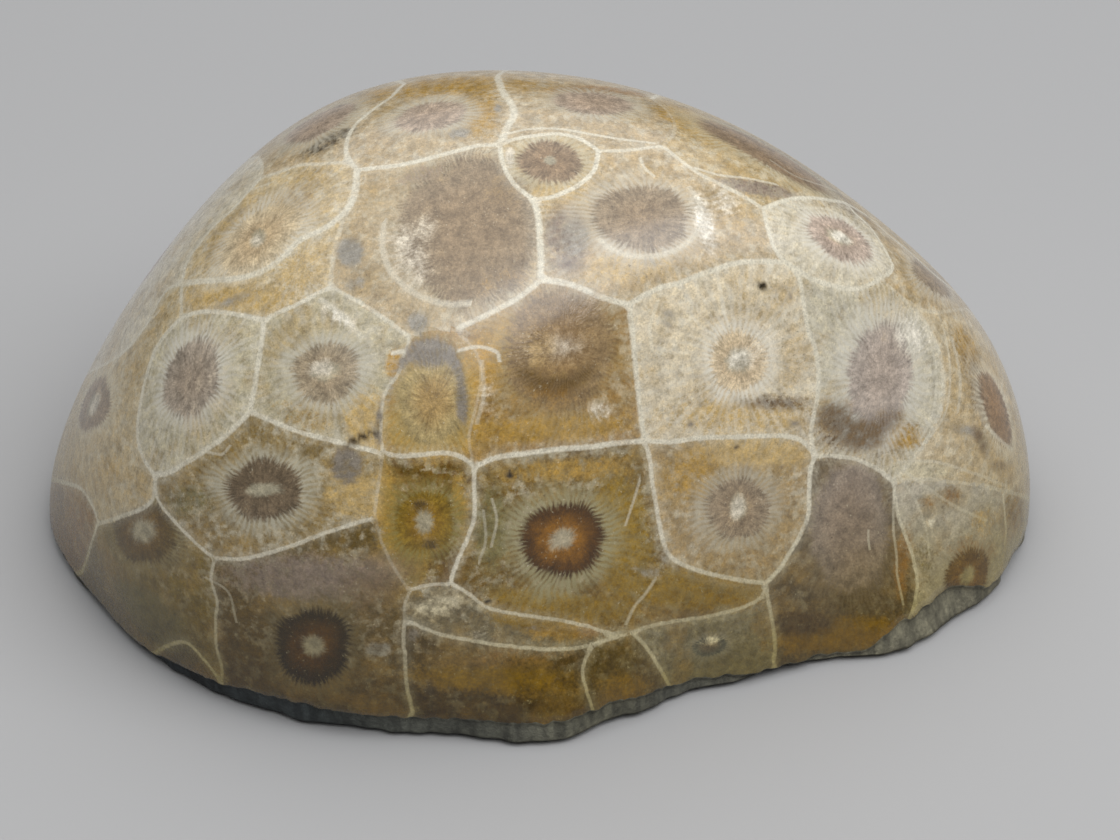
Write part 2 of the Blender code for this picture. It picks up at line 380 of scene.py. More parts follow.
# %% Walls
# Ends: (bends, half width in tenths of a millimetre, how plainly it shows)
WALLS = {
    (1, 34): ("345,163 320,164 300,165 280,172", 3, 0.7),
    (34, 2): ("250,190 230,212 215,225 200,243 187,262", 3, 0.9),
    (1, 37): ("356,185 352,200", 5, 1.0),
    (37, 2): ("325,228 300,240 285,255 265,270 240,278 205,281", 4.2, 0.95),
    (37, 5): ("337,240 333,262 331,275", 3, 0.45),
    (2, 3): ("181,300", 3, 0.8),
    (3, 4): ("200,312 220,312 245,316", 3, 1.0),
    (4, 5): ("280,312 300,303 320,292", 3, 1.0),
    (5, 8): ("350,297 380,315 400,330", 2.6, 0.75),
    (4, 6): ("262,340 258,365 255,385", 3.6, 1.0),
    (3, 7): ("165,335 155,350 148,370 141,400 137,430 140,450 147,465", 3.4, 1.0),
    (7, 6): ("170,472 190,460 210,447 230,432", 3.4, 1.0),
    (6, 21): ("270,420 300,432 330,440 355,447", 3, 0.95),
    (8, 21): ("400,370 390,385 383,400 381,430", 2.2, 0.7),
    (8, 9): ("425,330 440,329", 2, 0.3),
    (9, 10): ("480,318 500,308 520,297", 3.4, 0.85),
    (9, 20): ("476,352 481,380 474,415 469,440", 2, 0.3),
    (21, 20): ("400,456 420,455 445,453 462,457", 3, 0.85),
    (1, 12): ("400,165 430,158 460,150 480,145", 3.4, 1.0),
    (12, 13): ("515,139 540,135 560,134 580,139", 3, 1.0),
    (13, 11): ("594,170 580,184 565,192 548,198", 3, 1.0),
    (12, 11): ("502,160 508,175 518,188", 3, 1.0),
    (11, 10): ("538,215 540,240 541,262", 4, 1.0),
    (10, 14): ("560,282 580,288 600,297", 3.6, 1.0),
    (14, 15): ("640,298 660,288 680,283 700,275 720,268 745,262", 3.4, 0.95),
    (13, 33): ("630,150", 2.6, 0.8),
    (33, 16): ("680,160 700,174 720,184 745,197", 3, 0.8),
    (16, 31): ("780,202 800,198 815,198 830,200", 3.2, 1.0),
    (31, 17): ("855,213 870,227 882,245 888,255", 2.8, 0.95),
    (17, 36): ("890,272", 2.8, 0.95),
    (36, 15): ("865,287 850,289 830,285 810,278 798,270", 3.2, 1.0),
    (15, 16): ("775,250 768,230", 2.8, 0.95),
    (31, 44): ("870,218 890,236 910,252 935,275", 2.6, 0.9),
    (36, 32): ("890,287", 2.2, 0.5),
    (32, 45): ("935,312", 2.4, 0.4),
    (32, 35): ("925,322 938,348 943,380 940,412 925,443 908,465", 3.6, 0.55),
    (35, 46): ("925,479 950,482 980,485 1000,490", 2.6, 0.5),
    (19, 35): ("830,456 850,458 865,463 880,471", 2.8, 0.8),
    (35, 57): ("898,515 905,535 912,555 917,580 915,600 908,620", 2.6, 0.8),
    (15, 19): ("798,276 803,300 808,330 814,345 818,370 817,400 811,430", 3.2, 0.9),
    (14, 18): ("633,340 636,370 639,400 642,425", 3.6, 0.95),
    (18, 20): ("620,443 590,447 560,449 530,453 500,457 485,462", 3.4, 1.0),
    (18, 19): ("670,442 700,438 740,437 780,436 802,441", 3.2, 0.95),
    (18, 22): ("650,460 652,480 657,510 663,540 672,558 700,571 740,580", 3, 0.85),
    (19, 22): ("810,470 809,490 808,515 800,535 790,552 780,568", 3.2, 0.95),
    (22, 56): ("768,600 772,620 775,645", 2.8, 0.7),
    (23, 22): ("650,626 670,622 690,619 710,616 740,608 760,598", 2.6, 0.7),
    (26, 23): ("465,591 485,606 500,611 530,616 560,620 590,627 610,633", 2.4, 0.75),
    (25, 26): ("430,585", 2.4, 0.6),
    (20, 26): ("474,480 475,500 474,520 467,540 458,560", 2.8, 0.85),
    (21, 24): ("380,475 377,495", 2.2, 0.35),
    (24, 25): ("383,545 397,572", 2.2, 0.25),
    (24, 27): ("350,525 320,535 300,543 285,548 262,555 240,559", 2.6, 0.8),
    (27, 7): ("200,547 178,525 158,500", 2.6, 0.85),
    (27, 52): ("211,580 217,600 216,620 217,650 222,667", 2.4, 0.65),
    (25, 28): ("405,605", 2, 0.4),
    (28, 53): ("404,640 405,660 407,685", 2.6, 0.7),
    (28, 29): ("440,634 470,640 500,645 530,648 555,649 580,647", 2.6, 0.8),
    (29, 23): ("618,636", 2.8, 0.8),
    (29, 54): ("590,650 583,668 585,685 590,700", 2.4, 0.65),
    (23, 55): ("645,645 655,660 665,677", 2.6, 0.75),
    (7, 30): ("150,503 120,517", 2.8, 0.9),
    (30, 49): ("95,512 88,498 78,487", 2.8, 1.0),
    (30, 50): ("94,535 88,555", 2.6, 1.0),
    (51, 52): ("163,648 175,643 187,643 200,655 213,671", 2.8, 0.95),
    (2, 48): ("165,292 148,322 128,348 105,364", 2.8, 0.85),
    (34, 47): ("262,165", 2.4, 0.8),
    (1, 41): ("350,160 346,150 349,135 358,122 375,108 392,96", 3, 0.95),
    (12, 42): ("507,128 514,115 511,103 503,92", 4.6, 0.9),
    (33, 43): ("675,130 668,112", 2.2, 0.3),
}
# Behind the outline a ring of walls closes the named cells, and a wall runs out to each of its
# junctions but one: from 41 to 61, and so on.
HIDDEN_RING = (61, 62, 63, 78, 64, 65, 66, 77, 76, 75, 74, 73, 72, 71, 70, 69, 68, 67)
HIDDEN_WALLS = [(name, name + 20) for name in range(41, 58)]
HIDDEN_WALLS += zip(HIDDEN_RING, HIDDEN_RING[1:] + HIDDEN_RING[:1])
HIDDEN_HALF_WIDTH, HIDDEN_SHOW = 3.0, 0.85
WALL_STEP = 0.25  # degrees between the points that stand for a wall


def smooth_path(stops):
    """A Catmull-Rom curve through the stops, in short equal steps."""
    stops = np.array(stops)
    ends = np.vstack([2 * stops[0] - stops[1], stops, 2 * stops[-1] - stops[-2]])
    path = [stops[:1]]
    for a, b, c, d in zip(ends, ends[1:], ends[2:], ends[3:]):
        count = max(int(np.linalg.norm(c - b) / WALL_STEP), 1)
        t = (np.arange(1, count + 1) / count)[:, None]
        path.append(0.5 * (2 * b + (c - a) * t + (2 * a - 5 * b + 4 * c - d) * t**2
                           + (3 * b - 3 * c + d - a) * t**3))
    return np.vstack(path)


def wall_stops(ends, bends):
    places = [place.split(",") for place in bends.split()]
    return [place_of[ends[0]],
            *(to_chart(on_stone(float(x), float(y))[0]) for x, y in places), place_of[ends[1]]]


paths, wall_width, wall_show = {}, {}, {}
for ends, (bends, half_width, show) in WALLS.items():
    paths[ends] = smooth_path(wall_stops(ends, bends))
    wall_width[ends], wall_show[ends] = half_width / PER_MM, show
for ends in HIDDEN_WALLS:
    paths[ends] = smooth_path([place_of[end] for end in ends])
    wall_width[ends], wall_show[ends] = HIDDEN_HALF_WIDTH / PER_MM, HIDDEN_SHOW
wall_points = from_chart(np.vstack(list(paths.values())))
wall_facts = np.vstack([np.tile([wall_width[ends], wall_show[ends]], (len(path), 1))
                        for ends, path in paths.items()])
print(len(paths), "walls,", len(wall_points), "wall points")

# %% Loose lines
# Thin pale lines that part no cells: growth lines, cracks healed with calcite, edges of halos. Two
# are painted: the sharp lower edge of a lamp's reflection.
LOOSE_LINES = [
    ("506,134 530,129 560,129 590,134 620,139 652,143", 1.8, 0.8),
    ("695,168 720,175 745,178 775,184", 1.8, 0.7), ("205,577 228,592 236,620", 1.6, 0.45),
    ("160,310 140,332 115,362", 2.0, 0.6), ("1003,495 1006,530 1004,545", 2.0, 0.7),
    ("894,490 895,545 897,575 902,600", 1.6, 0.55), ("627,622 635,606 646,593 656,578", 2.0, 0.55),
    ("640,480 634,500 626,524", 1.6, 0.5), ("658,300 650,328 652,348", 2.2, 0.5),
    ("905,330 915,368 918,400", 2.0, 0.4), ("930,340 936,372 933,412 920,440", 2.0, 0.45),
    ("952,340 960,378 958,412", 2.4, 0.45), ("985,425 1000,440 1012,450", 2.4, 0.6),
    ("322,300 345,318 361,337", 3.2, 0.7), ("207,452 222,454 230,446", 1.6, 0.6),
    # Painted reflection: the two lines here are the sharp lower edge of a lamp's reflection.
    ("394,353 405,351", 2.4, 1.0), ("457,351 478,347 496,352 500,362", 2.0, 0.8),
    ("482,362 484,395 478,420", 2.2, 0.4), ("640,158 645,168 655,177", 1.8, 0.7),
    ("770,160 800,178 838,192 868,200", 1.8, 0.4), ("800,208 826,209 850,220", 1.6, 0.5),
    ("492,498 497,520 492,545", 1.6, 0.4), ("484,512 486,540 480,560", 1.6, 0.35),
    ("250,190 262,186 275,181", 1.8, 0.5), ("170,250 186,228 203,206", 2.0, 0.4),
    ("384,222 382,244 388,266 402,284 422,297 446,304 470,303", 3.4, 0.65),
    ("598,238 612,249 632,256 655,256 678,249 694,236 701,218 698,200 688,186", 3.0, 0.55),
    ("868,533 869,546", 1.4, 0.6), ("903,470 930,490 958,508 985,520", 1.8, 0.45),
    ("897,462 935,462 975,474 1006,486", 1.8, 0.4), ("899,476 915,500 926,530 930,560", 1.6, 0.4),
    ("944,330 950,370 946,410 930,438", 1.8, 0.45),
]
loose = [smooth_path([to_chart(on_stone(*map(float, stop.split(",")))[0])
                      for stop in stops.split()]) for stops, *_ in LOOSE_LINES]
loose_points = from_chart(np.vstack(loose))
loose_facts = np.vstack([np.tile([half / PER_MM, show], (len(path), 1))
                         for path, (_, half, show) in zip(loose, LOOSE_LINES)])
print(len(loose), "loose lines")

# %% [markdown]
# ## What fills a cell
#
# In the middle of a cell is a dark disc, where the cup was open and fine mud got in, crossed by
# thin radial plates, the septa. A pale knob, the columella, often stands in its centre. Round the
# disc the septa show as a pale fibrous halo, and out to the wall there is a mesh of tiny bubbles
# filled with ochre or cream calcite. Discs are given as they look from the camera: place, width
# and height, and lean of the width counter-clockwise, then the columella in the same way.

# %% Finishes of the cells
# Disc, halo and mesh colours, then how plain the halo is, how far ochre glows into the disc,
# and how plain the septa are out in the mesh.
LOOKS = {
    "mauve": ("#978469", "#c9bea6", "#b8a077", 0.75, 0.1, 0.5),
    "mauve, no halo": ("#998569", "#c8bc9f", "#b8a077", 0.3, 0.1, 0.3),
    "mauve, tan mesh": ("#978469", "#b9ae95", "#a68b5d", 0.75, 0.1, 0.5),
    "mauve, grey mesh": ("#b6a797", "#dad3c0", "#c7bc9f", 0.8, 0.1, 0.8),
    "pale mauve": ("#baa794", "#e4dcc8", "#d3c6a8", 0.8, 0.1, 0.7),
    "mauve, pale mesh": ("#ad9e8a", "#e2dbc8", "#c3b795", 0.8, 0.1, 0.7),
    "mauve, soft halo": ("#a59478", "#c9c1ab", "#baad8a", 0.8, 0.1, 0.7),
    "light mauve": ("#ab9780", "#c6bca4", "#b9a27b", 0.75, 0.1, 0.5),
    "mauve brown": ("#927955", "#b09c74", "#957034", 0.4, 0.2, 0.4),
    "brown": ("#8f7557", "#ddd1b4", "#c2ad86", 0.6, 0.3, 0.5),
    "pale brown": ("#937c60", "#cbbf9f", "#b89e6e", 0.6, 0.08, 0.5),
    "dusty brown": ("#9a856a", "#dad0b3", "#c5ae80", 0.6, 0.08, 0.5),
    "dark brown": ("#675224", "#9c8d62", "#79631c", 0.6, 0.2, 0.5),
    "chestnut": ("#4a2e06", "#a0966f", "#6f5208", 0.9, 0.8, 0.5),
    "deep brown": ("#77664f", "#bfb79e", "#8f7747", 0.85, 0.0, 0.5),
    "brown, pale mesh": ("#7a6030", "#ada28c", "#beb49f", 0.6, 0.2, 0.9),
    "darkest": ("#372909", "#7c7050", "#644e1a", 0.5, 0.3, 0.4),
    "ochre": ("#af9a69", "#b9a774", "#a38048", 0.4, 0.4, 0.4),
    "ochre low": ("#836820", "#8d8048", "#664808", 0.7, 0.3, 0.5),
    "dark ochre": ("#57411a", "#7a693c", "#63501e", 0.4, 0.4, 0.4),
    "deep ochre": ("#4c3a14", "#6c5d33", "#54400e", 0.4, 0.4, 0.4),
    "tan disc": ("#cfbb96", "#dbd1ba", "#c9b182", 0.7, 0.3, 0.5),
    "tan": ("#d8c29d", "#f0e8d4", "#d7c6a4", 0.7, 0.25, 0.6),
    "cream": ("#7c6f50", "#92896b", "#786a4b", 0.4, 0.2, 0.3),
    "grey green": ("#6d6c62", "#a39e94", "#84795a", 0.5, 0.2, 0.4),
    "mauve low": ("#938370", "#8c7c62", "#5f4f33", 0.5, 0.1, 0.4),
}

# Name: (loop of junctions, centre, disc, columella, finish)
CELLS = {
    "left shoulder": ("1 34 2 37", (258, 238), (104, 56, 42), (18, 14, 60), "tan disc"),
    "below the shoulder": ("37 2 3 4 5", (300, 268), None, None, "tan disc"),
    "left": ("3 4 6 7", (190, 380), (84, 57, 72), None, "mauve, pale mesh"),
    "left middle": ("4 5 8 21 6", (325, 372), (70, 60, 20), (30, 16, 12), "mauve, soft halo"),
    "capped": ("8 9 20 21", (432, 400), (70, 90, 0), None, "ochre"),
    "great": ("1 12 11 10 9 8 5 37", (470, 226), (146, 158, 0), None,
              "mauve, no halo"),
    "top left": ("1 41 61 62 42 12", (430, 116), (74, 32, 12), None, "light mauve"),
    "eye": ("12 13 11", (550, 161), (63, 44, -3), (11, 9, 0), "pale brown"),
    "top middle": ("11 13 33 16 15 14 10", (642, 217), (102, 66, -5), None, "mauve"),
    "top": ("12 42 62 63 43 33 13", (592, 102), (84, 26, -4), None, "light mauve"),
    "top right": ("33 43 63 78 64 44 31 16", (765, 152), (150, 22, -29), None, "pale brown"),
    "right shoulder": ("16 31 17 36 15", (840, 238), (74, 40, -28), (26, 11, -28), "pale mauve"),
    "right rim": ("31 44 64 65 45 32 36 17", (932, 277), (56, 20, -42), None, "mauve"),
    "right": ("15 36 32 35 19", (882, 376), (108, 72, 84), None, "mauve, grey mesh"),
    "right end": ("32 45 65 66 46 35", (997, 408), (84, 26, -68), None, "brown"),
    "low right": ("35 46 66 77 57", (968, 577), (60, 48, 60), (20, 14, 70),
                  "brown, pale mesh"),
    "dusky": ("19 35 57 77 76 56 22", (850, 525), (80, 136, 0), None, "mauve low"),
    "tan": ("14 15 19 18", (738, 360), (60, 62, 0), (26, 24, 0), "tan"),
    "middle": ("9 10 14 18 20", (562, 350), (106, 124, 0), None, "mauve brown"),
    "right of middle": ("18 19 22", (738, 508), (68, 63, 0), (26, 15, 82), "mauve, tan mesh"),
    "chestnut": ("20 18 22 23 26", (563, 540), (87, 78, 20), (27, 19, 38), "chestnut"),
    "ochre": ("21 20 26 25 24", (424, 522), (62, 66, 0), (18, 22, 0), "ochre low"),
    "low left": ("6 21 24 27 7", (262, 490), (82, 63, 0), (32, 13, 4), "deep brown"),
    "bottom left": ("27 24 25 28 53 73 72 52", (312, 645), (77, 80, 0), (25, 19, -35),
                    "darkest"),
    "bottom": ("28 29 54 74 73 53", (500, 683), None, None, "deep ochre"),
    "lens": ("25 26 23 29 28", (500, 628), None, None, "cream"),
    "wedge": ("29 23 55 75 74 54", (625, 690), None, None, "dark ochre"),
    "bottom right": ("23 22 56 76 75 55", (710, 647), (36, 20, 8), None, "grey green"),
    "far left low": ("7 27 52 51 71 70 50 30", (142, 533), (74, 62, 0), (28, 22, 0), "dark brown"),
    "arch": ("51 52 72 71", (188, 668), None, None, "dark ochre"),
    "far left edge": ("30 50 70 69 49", (74, 525), None, None, "mauve brown"),
    "far left": ("2 3 7 30 49 69 68 48", (93, 405), (62, 36, 65), (25, 12, 65), "dusty brown"),
    "left streaks": ("34 2 48 68 67 47", (190, 215), None, None, "pale mauve"),
    "left crest": ("1 34 47 67 61 41", (318, 122), (84, 26, 28), None, "light mauve"),
}
# Azimuth and tilt from the centre, width, height and lean in millimetres and degrees, finish
DISC_BEHIND = {"left streaks": (173, 29, 10, 8, 20)}  # a named cell whose disc is out of sight
FAR_CELLS = [
    (46, 49, 9, 8, 10, "mauve"), (78, 56, 11, 8, -20, "pale brown"), (107, 53, 8, 7, 30, "brown"),
    (138, 46, 10, 8, 0, "mauve"), (31, 36, 8, 7, 20, "brown"), (59, 34, 12, 9, -15, "mauve"),
    (84, 38, 7, 7, 40, "mauve, tan mesh"), (103, 33, 10, 9, 0, "mauve, pale mesh"),
    (126, 31, 8, 7, 15, "deep brown"), (151, 31, 8, 7, 60, "pale brown"),
    (19, 20, 8, 6, 0, "tan disc"), (43, 18, 9, 8, 30, "deep brown"), (68, 19, 7, 6, 60, "ochre"),
    (87, 18, 10, 8, 10, "brown"), (112, 15, 9, 8, 0, "mauve"), (134, 15, 8, 7, 120, "chestnut"),
    (156, 13, 10, 8, 80, "mauve"), (174, 14, 7, 5, 0, "pale brown"), (13, 2, 8, 7, 45, "mauve"),
    (34, 3, 8, 7, 0, "brown"), (56, 1, 9, 7, 30, "mauve, pale mesh"), (77, -1, 8, 7, 0, "tan"),
    (99, 0, 9, 8, 90, "deep brown"), (121, -2, 11, 8, 20, "mauve"), (141, -4, 7, 6, 0, "ochre"),
    (160, -3, 8, 7, 0, "brown"), (178, -5, 7, 6, 0, "mauve"), (52, -18, 8, 7, 0, "mauve"),
    (78, -20, 7, 6, 0, "ochre"), (100, -18, 8, 7, 0, "brown"), (150, -18, 7, 6, 0, "mauve"),
    (-10, -30, 7, 6, 0, "ochre"), (200, -40, 7, 6, 0, "brown"), (270, -50, 8, 7, 0, "mauve"),
]


def linear(hex_colour):
    """An sRGB hex colour as linear red, green and blue."""
    value = np.array([int(hex_colour[i:i + 2], 16) for i in (1, 3, 5)]) / 255
    return np.where(value <= 0.04045, value / 12.92, ((value + 0.055) / 1.055) ** 2.4)


# %% Frames on the surface
def seen_frame(x, y, width, height, lean):
    """A place, and what turns a point near it into units of the ellipse that is seen there."""
    point, normal = on_stone(x, y)
    first = RIGHT - normal * (normal @ RIGHT)
    first /= np.linalg.norm(first)
    second = np.cross(normal, first)
    seen = np.array([[first @ RIGHT, second @ RIGHT], [first @ UP, second @ UP]])
    turn = math.radians(lean)
    unturn = np.array([[math.cos(turn), math.sin(turn)], [-math.sin(turn), math.cos(turn)]])
    depth = ((EYE - point) @ TOWARDS) / CAMERA_AWAY
    halves = np.array([[width], [height]]) / 2 / PER_MM * depth
    return point, (unturn @ seen / halves) @ np.array([first, second])


def far_frame(azimuth, tilt, width, height, lean):
    """The same for a place out of sight, with the ellipse in millimetres."""
    way = facing(azimuth, tilt)[None]
    point = centre + (way * dome_distance(way)[:, None])[0]
    normal = np.array(stone_tree.find_nearest(Vector(point))[1])
    first = np.cross([0.0, 0.0, 1.0], normal) + [1e-6, 0.0, 0.0]
    first /= np.linalg.norm(first)
    second = np.cross(normal, first)
    turn = math.radians(lean)
    across = first * math.cos(turn) + second * math.sin(turn)
    along = second * math.cos(turn) - first * math.sin(turn)
    return point, np.array([across / (width / 2), along / (height / 2)])


# %% Which cell each face belongs to
faces = [tuple(f.vertices) for f in stone.data.polygons]
corner_vertex = np.empty(len(stone.data.loops), dtype=int)
stone.data.loops.foreach_get("vertex_index", corner_vertex)
corner_face = np.repeat(np.arange(len(faces)), [len(face) for face in faces])
face_middle = np.array([form[list(face)].mean(axis=0) for face in faces])
POLYGON_STRIDE = 4


def outline(loop):
    names = [int(name) for name in loop.split()]
    parts = []
    for pair in zip(names, names[1:] + names[:1]):
        path = paths[pair] if pair in paths else paths[pair[::-1]][::-1]
        parts.append(path[:-1:POLYGON_STRIDE])
    return np.vstack(parts)


def within(places, polygon):
    """Whether each place of the flat map is inside a polygon."""
    inside = np.zeros(len(places), bool)
    near = ((places > polygon.min(axis=0)) & (places < polygon.max(axis=0))).all(axis=1)
    x, y = places[near].T
    odd = np.zeros(len(x), bool)
    for (x1, y1), (x2, y2) in zip(polygon, np.roll(polygon, -1, axis=0)):
        if y1 != y2:
            odd ^= ((y1 > y) != (y2 > y)) & (x < (x2 - x1) * (y - y1) / (y2 - y1) + x1)
    inside[near] = odd
    return inside


vertex_place, face_place = to_chart(form), to_chart(face_middle)
cell_of_face = np.full(len(faces), -1)
cell_of_vertex = np.full(len(form), -1)
for number, (loop, *_) in enumerate(CELLS.values()):
    polygon = outline(loop)
    cell_of_face[within(face_place, polygon)] = number
    cell_of_vertex[within(vertex_place, polygon)] = number

NO_DISC, NO_KNOB = (30, 30, 0), (10, 10, 0)  # sizes for the frame of a cell that has none
frames = [far_frame(*DISC_BEHIND[name]) if name in DISC_BEHIND
          else seen_frame(*cell[1], *(cell[2] or NO_DISC)) for name, cell in CELLS.items()]
frames += [far_frame(*cell[:5]) for cell in FAR_CELLS]
far_points = np.array([frame[0] for frame in frames[len(CELLS):]])

WALL_BEND, BEND_SPACING = 2.2, 8.0  # how far walls out of sight bend, in millimetres
AXES_APART = 7.0  # the noise is read this far apart for each axis


def far_distances(points):
    """From each point, pushed a little so that the walls bend, to the middle of each far cell."""
    pushes = [noise_at(points / BEND_SPACING + AXES_APART * axis) for axis in range(3)]
    pushed = points + WALL_BEND * np.column_stack(pushes)
    return np.linalg.norm(pushed[:, None] - far_points[None], axis=2)


loose_faces = cell_of_face < 0
cell_of_face[loose_faces] = len(CELLS) + far_distances(face_middle[loose_faces]).argmin(axis=1)
print("faces in named cells:", int((~loose_faces).sum()), "far cells:", int(loose_faces.sum()))

# %% How far each corner is from the wall of its face's cell
POINT_REACH = 0.12  # a wall point also stands for the wall this far to each side, in mm

wall_tree = kdtree.KDTree(len(wall_points))
for number, point in enumerate(wall_points.tolist()):
    wall_tree.insert(point, number)
wall_tree.balance()
nearest = np.array([wall_tree.find(point)[1] for point in form.tolist()])
ahead = np.roll(wall_points, -1, axis=0) - np.roll(wall_points, 1, axis=0)
ahead /= np.linalg.norm(ahead, axis=1)[:, None]
apart = form - wall_points[nearest]
along = np.clip((apart * ahead[nearest]).sum(axis=1), -POINT_REACH, POINT_REACH)
wall_distance = np.linalg.norm(apart - along[:, None] * ahead[nearest], axis=1)
half_width, show = wall_facts[nearest].T

corner_cell = cell_of_face[corner_face]
is_far = corner_cell >= len(CELLS)
vertex_cell = cell_of_vertex[corner_vertex]
same = np.where(is_far, vertex_cell < 0, vertex_cell == corner_cell)
signed = np.where(same, 1.0, -1.0) * wall_distance[corner_vertex]
signed_width, signed_show = half_width[corner_vertex], show[corner_vertex]

# Between far cells the wall is the plane halfway between their middles.
NEVER_NEAREST = 99.0
corner_points = form[corner_vertex]
away = far_distances(corner_points[is_far]) ** 2
own = corner_cell[is_far] - len(CELLS)
between = np.linalg.norm(far_points[:, None] - far_points[None], axis=2)
own_away = away[np.arange(len(away)), own]
margin = (away - own_away[:, None]) / (2 * between[own] + 1e-9)
margin[np.arange(len(away)), own] = NEVER_NEAREST
far_signed = margin.min(axis=1)
far_wins = np.abs(far_signed) < np.abs(signed[is_far])
far_corner = np.flatnonzero(is_far)[far_wins]
signed[far_corner] = far_signed[far_wins]
signed_width[far_corner], signed_show[far_corner] = HIDDEN_HALF_WIDTH / PER_MM, HIDDEN_SHOW
print("furthest from a wall:", wall_distance.max().round(1), "mm")

# %% Loose lines, per face so that they stay sharp
LOOSE_REACH, PAST_END = 1.0, 0.2  # how far a line counts, sideways and past its end, in mm
NO_LINE = 9.0  # in half widths, far enough that nothing shows

loose_tree = kdtree.KDTree(len(loose_points))
for number, point in enumerate(loose_points.tolist()):
    loose_tree.insert(point, number)
loose_tree.balance()
found = [loose_tree.find(point) for point in face_middle.tolist()]
loose_nearest = np.array([number for _, number, _ in found])
loose_away = np.array([distance for *_, distance in found])
loose_ahead = np.vstack([np.gradient(from_chart(path), axis=0) for path in loose])
loose_ahead /= np.linalg.norm(loose_ahead, axis=1)[:, None]
face_normal = np.array([tuple(f.normal) for f in stone.data.polygons])
sideways = np.cross(loose_ahead[loose_nearest], face_normal)
line_point = loose_points[loose_nearest]
offset = ((corner_points - line_point[corner_face]) * sideways[corner_face]).sum(axis=1)
past_end = ((face_middle - line_point) * loose_ahead[loose_nearest]).sum(axis=1)
near = (loose_away < LOOSE_REACH) & (np.abs(past_end) < PAST_END)
loose_half, loose_show = loose_facts[loose_nearest].T
loose_line = np.where(near[corner_face], offset / loose_half[corner_face], NO_LINE)

# %% Attributes that carry the pattern to the material
SEPTA_SPACING = 0.47  # between septa at the edge of a disc, in millimetres
FEWEST_SEPTA = 30
FAR_KNOB = 3.4  # a far disc is this many times as wide as its columella
frame_matrix = np.array([frame[1] for frame in frames])
frame_point = np.array([frame[0] for frame in frames])
apart = corner_points - frame_point[corner_cell]
local = np.einsum("nij,nj->ni", frame_matrix[corner_cell], apart)
areas = np.array([np.linalg.norm(np.cross(*matrix)) for matrix in frame_matrix])
radius = areas**-0.5
septa = np.maximum(np.round(2 * math.pi * radius / SEPTA_SPACING), FEWEST_SEPTA)

columella_frames = [seen_frame(*cell[1], *(cell[3] or NO_KNOB))[1] for cell in CELLS.values()]
columella_frames += [matrix * FAR_KNOB for matrix in frame_matrix[len(CELLS):]]
knob = np.einsum("nij,nj->ni", np.array(columella_frames)[corner_cell], apart)
has_disc = np.array([bool(cell[2]) or name in DISC_BEHIND for name, cell in CELLS.items()]
                    + [True] * len(FAR_CELLS), float)
has_knob = np.array([bool(cell[3]) for cell in CELLS.values()]
                    + [n % 3 != 1 for n in range(len(FAR_CELLS))], float)  # two in three
finishes = [LOOKS[cell[-1]] for cell in (*CELLS.values(), *FAR_CELLS)]
glow = np.array([finish[4] for finish in finishes])


def carry(name, kind, values):
    """Stores one value per face corner, or per vertex where there are as many as vertices."""
    domain = "CORNER" if len(values) == len(corner_vertex) else "POINT"
    layer = stone.data.attributes.new(name, kind, domain)
    layer.data.foreach_set("color" if kind == "FLOAT_COLOR" else "vector",
                           np.ascontiguousarray(values, np.float32).ravel())


def finish_colours(part, alpha):
    colours = np.array([[*linear(finish[part]), finish[alpha]] for finish in finishes])
    return colours[corner_cell]


carry("corallite", "FLOAT_VECTOR", np.column_stack([local, septa[corner_cell]]))
carry("wall", "FLOAT_VECTOR", np.column_stack([signed / signed_width, signed_show,
                                               radius[corner_cell]]))
carry("facts", "FLOAT_VECTOR", np.column_stack([has_disc, glow, has_knob])[corner_cell])
carry("columella", "FLOAT_VECTOR", np.column_stack([knob, 0 * corner_cell]))
carry("loose_line", "FLOAT_VECTOR",
      np.column_stack([loose_line, loose_show[corner_face], 0 * loose_line]))
carry("disc_colour", "FLOAT_COLOR", finish_colours(0, 4))
carry("halo_colour", "FLOAT_COLOR", finish_colours(1, 3))
carry("mesh_colour", "FLOAT_COLOR", finish_colours(2, 5))
print("disc radii:", radius.round(1).tolist())

# %% [markdown]
# ## Stains, spar and painted light
#
# Iron turned parts of the mesh ochre and brown, under the pale lines. Later, clear grey and white
# calcite, which is called spar, filled the holes, and it covers the lines. So did the white
# patches. Painted highlights, white and pale patches where a lamp's reflection shows, and the
# painted shade of small open pits lie over the lines too. All are ellipses laid on the surface,
# whose edges the material breaks up, so that they look grown and not drawn.

# %% Stains, spar and painted light
STAIN_AND_PAINTED_LIGHT_COLOURS = {
    "ochre": "#ad873a", "deep ochre": "#b98d35", "pale ochre": "#c3a467", "rust": "#997136",
    "brown": "#705a3c", "dark": "#473924", "mauve": "#8d7b69", "green": "#756a3c",
    "spar": "#989080", "dark spar": "#83796a", "pale": "#d6cab2", "low ochre": "#90701a",
    # the pit colour is the painted shade inside small open holes
    "low brown": "#5a4522", "white": "#e9e0cb", "cream": "#cfc2a0", "pit shade": "#2c2417",
}
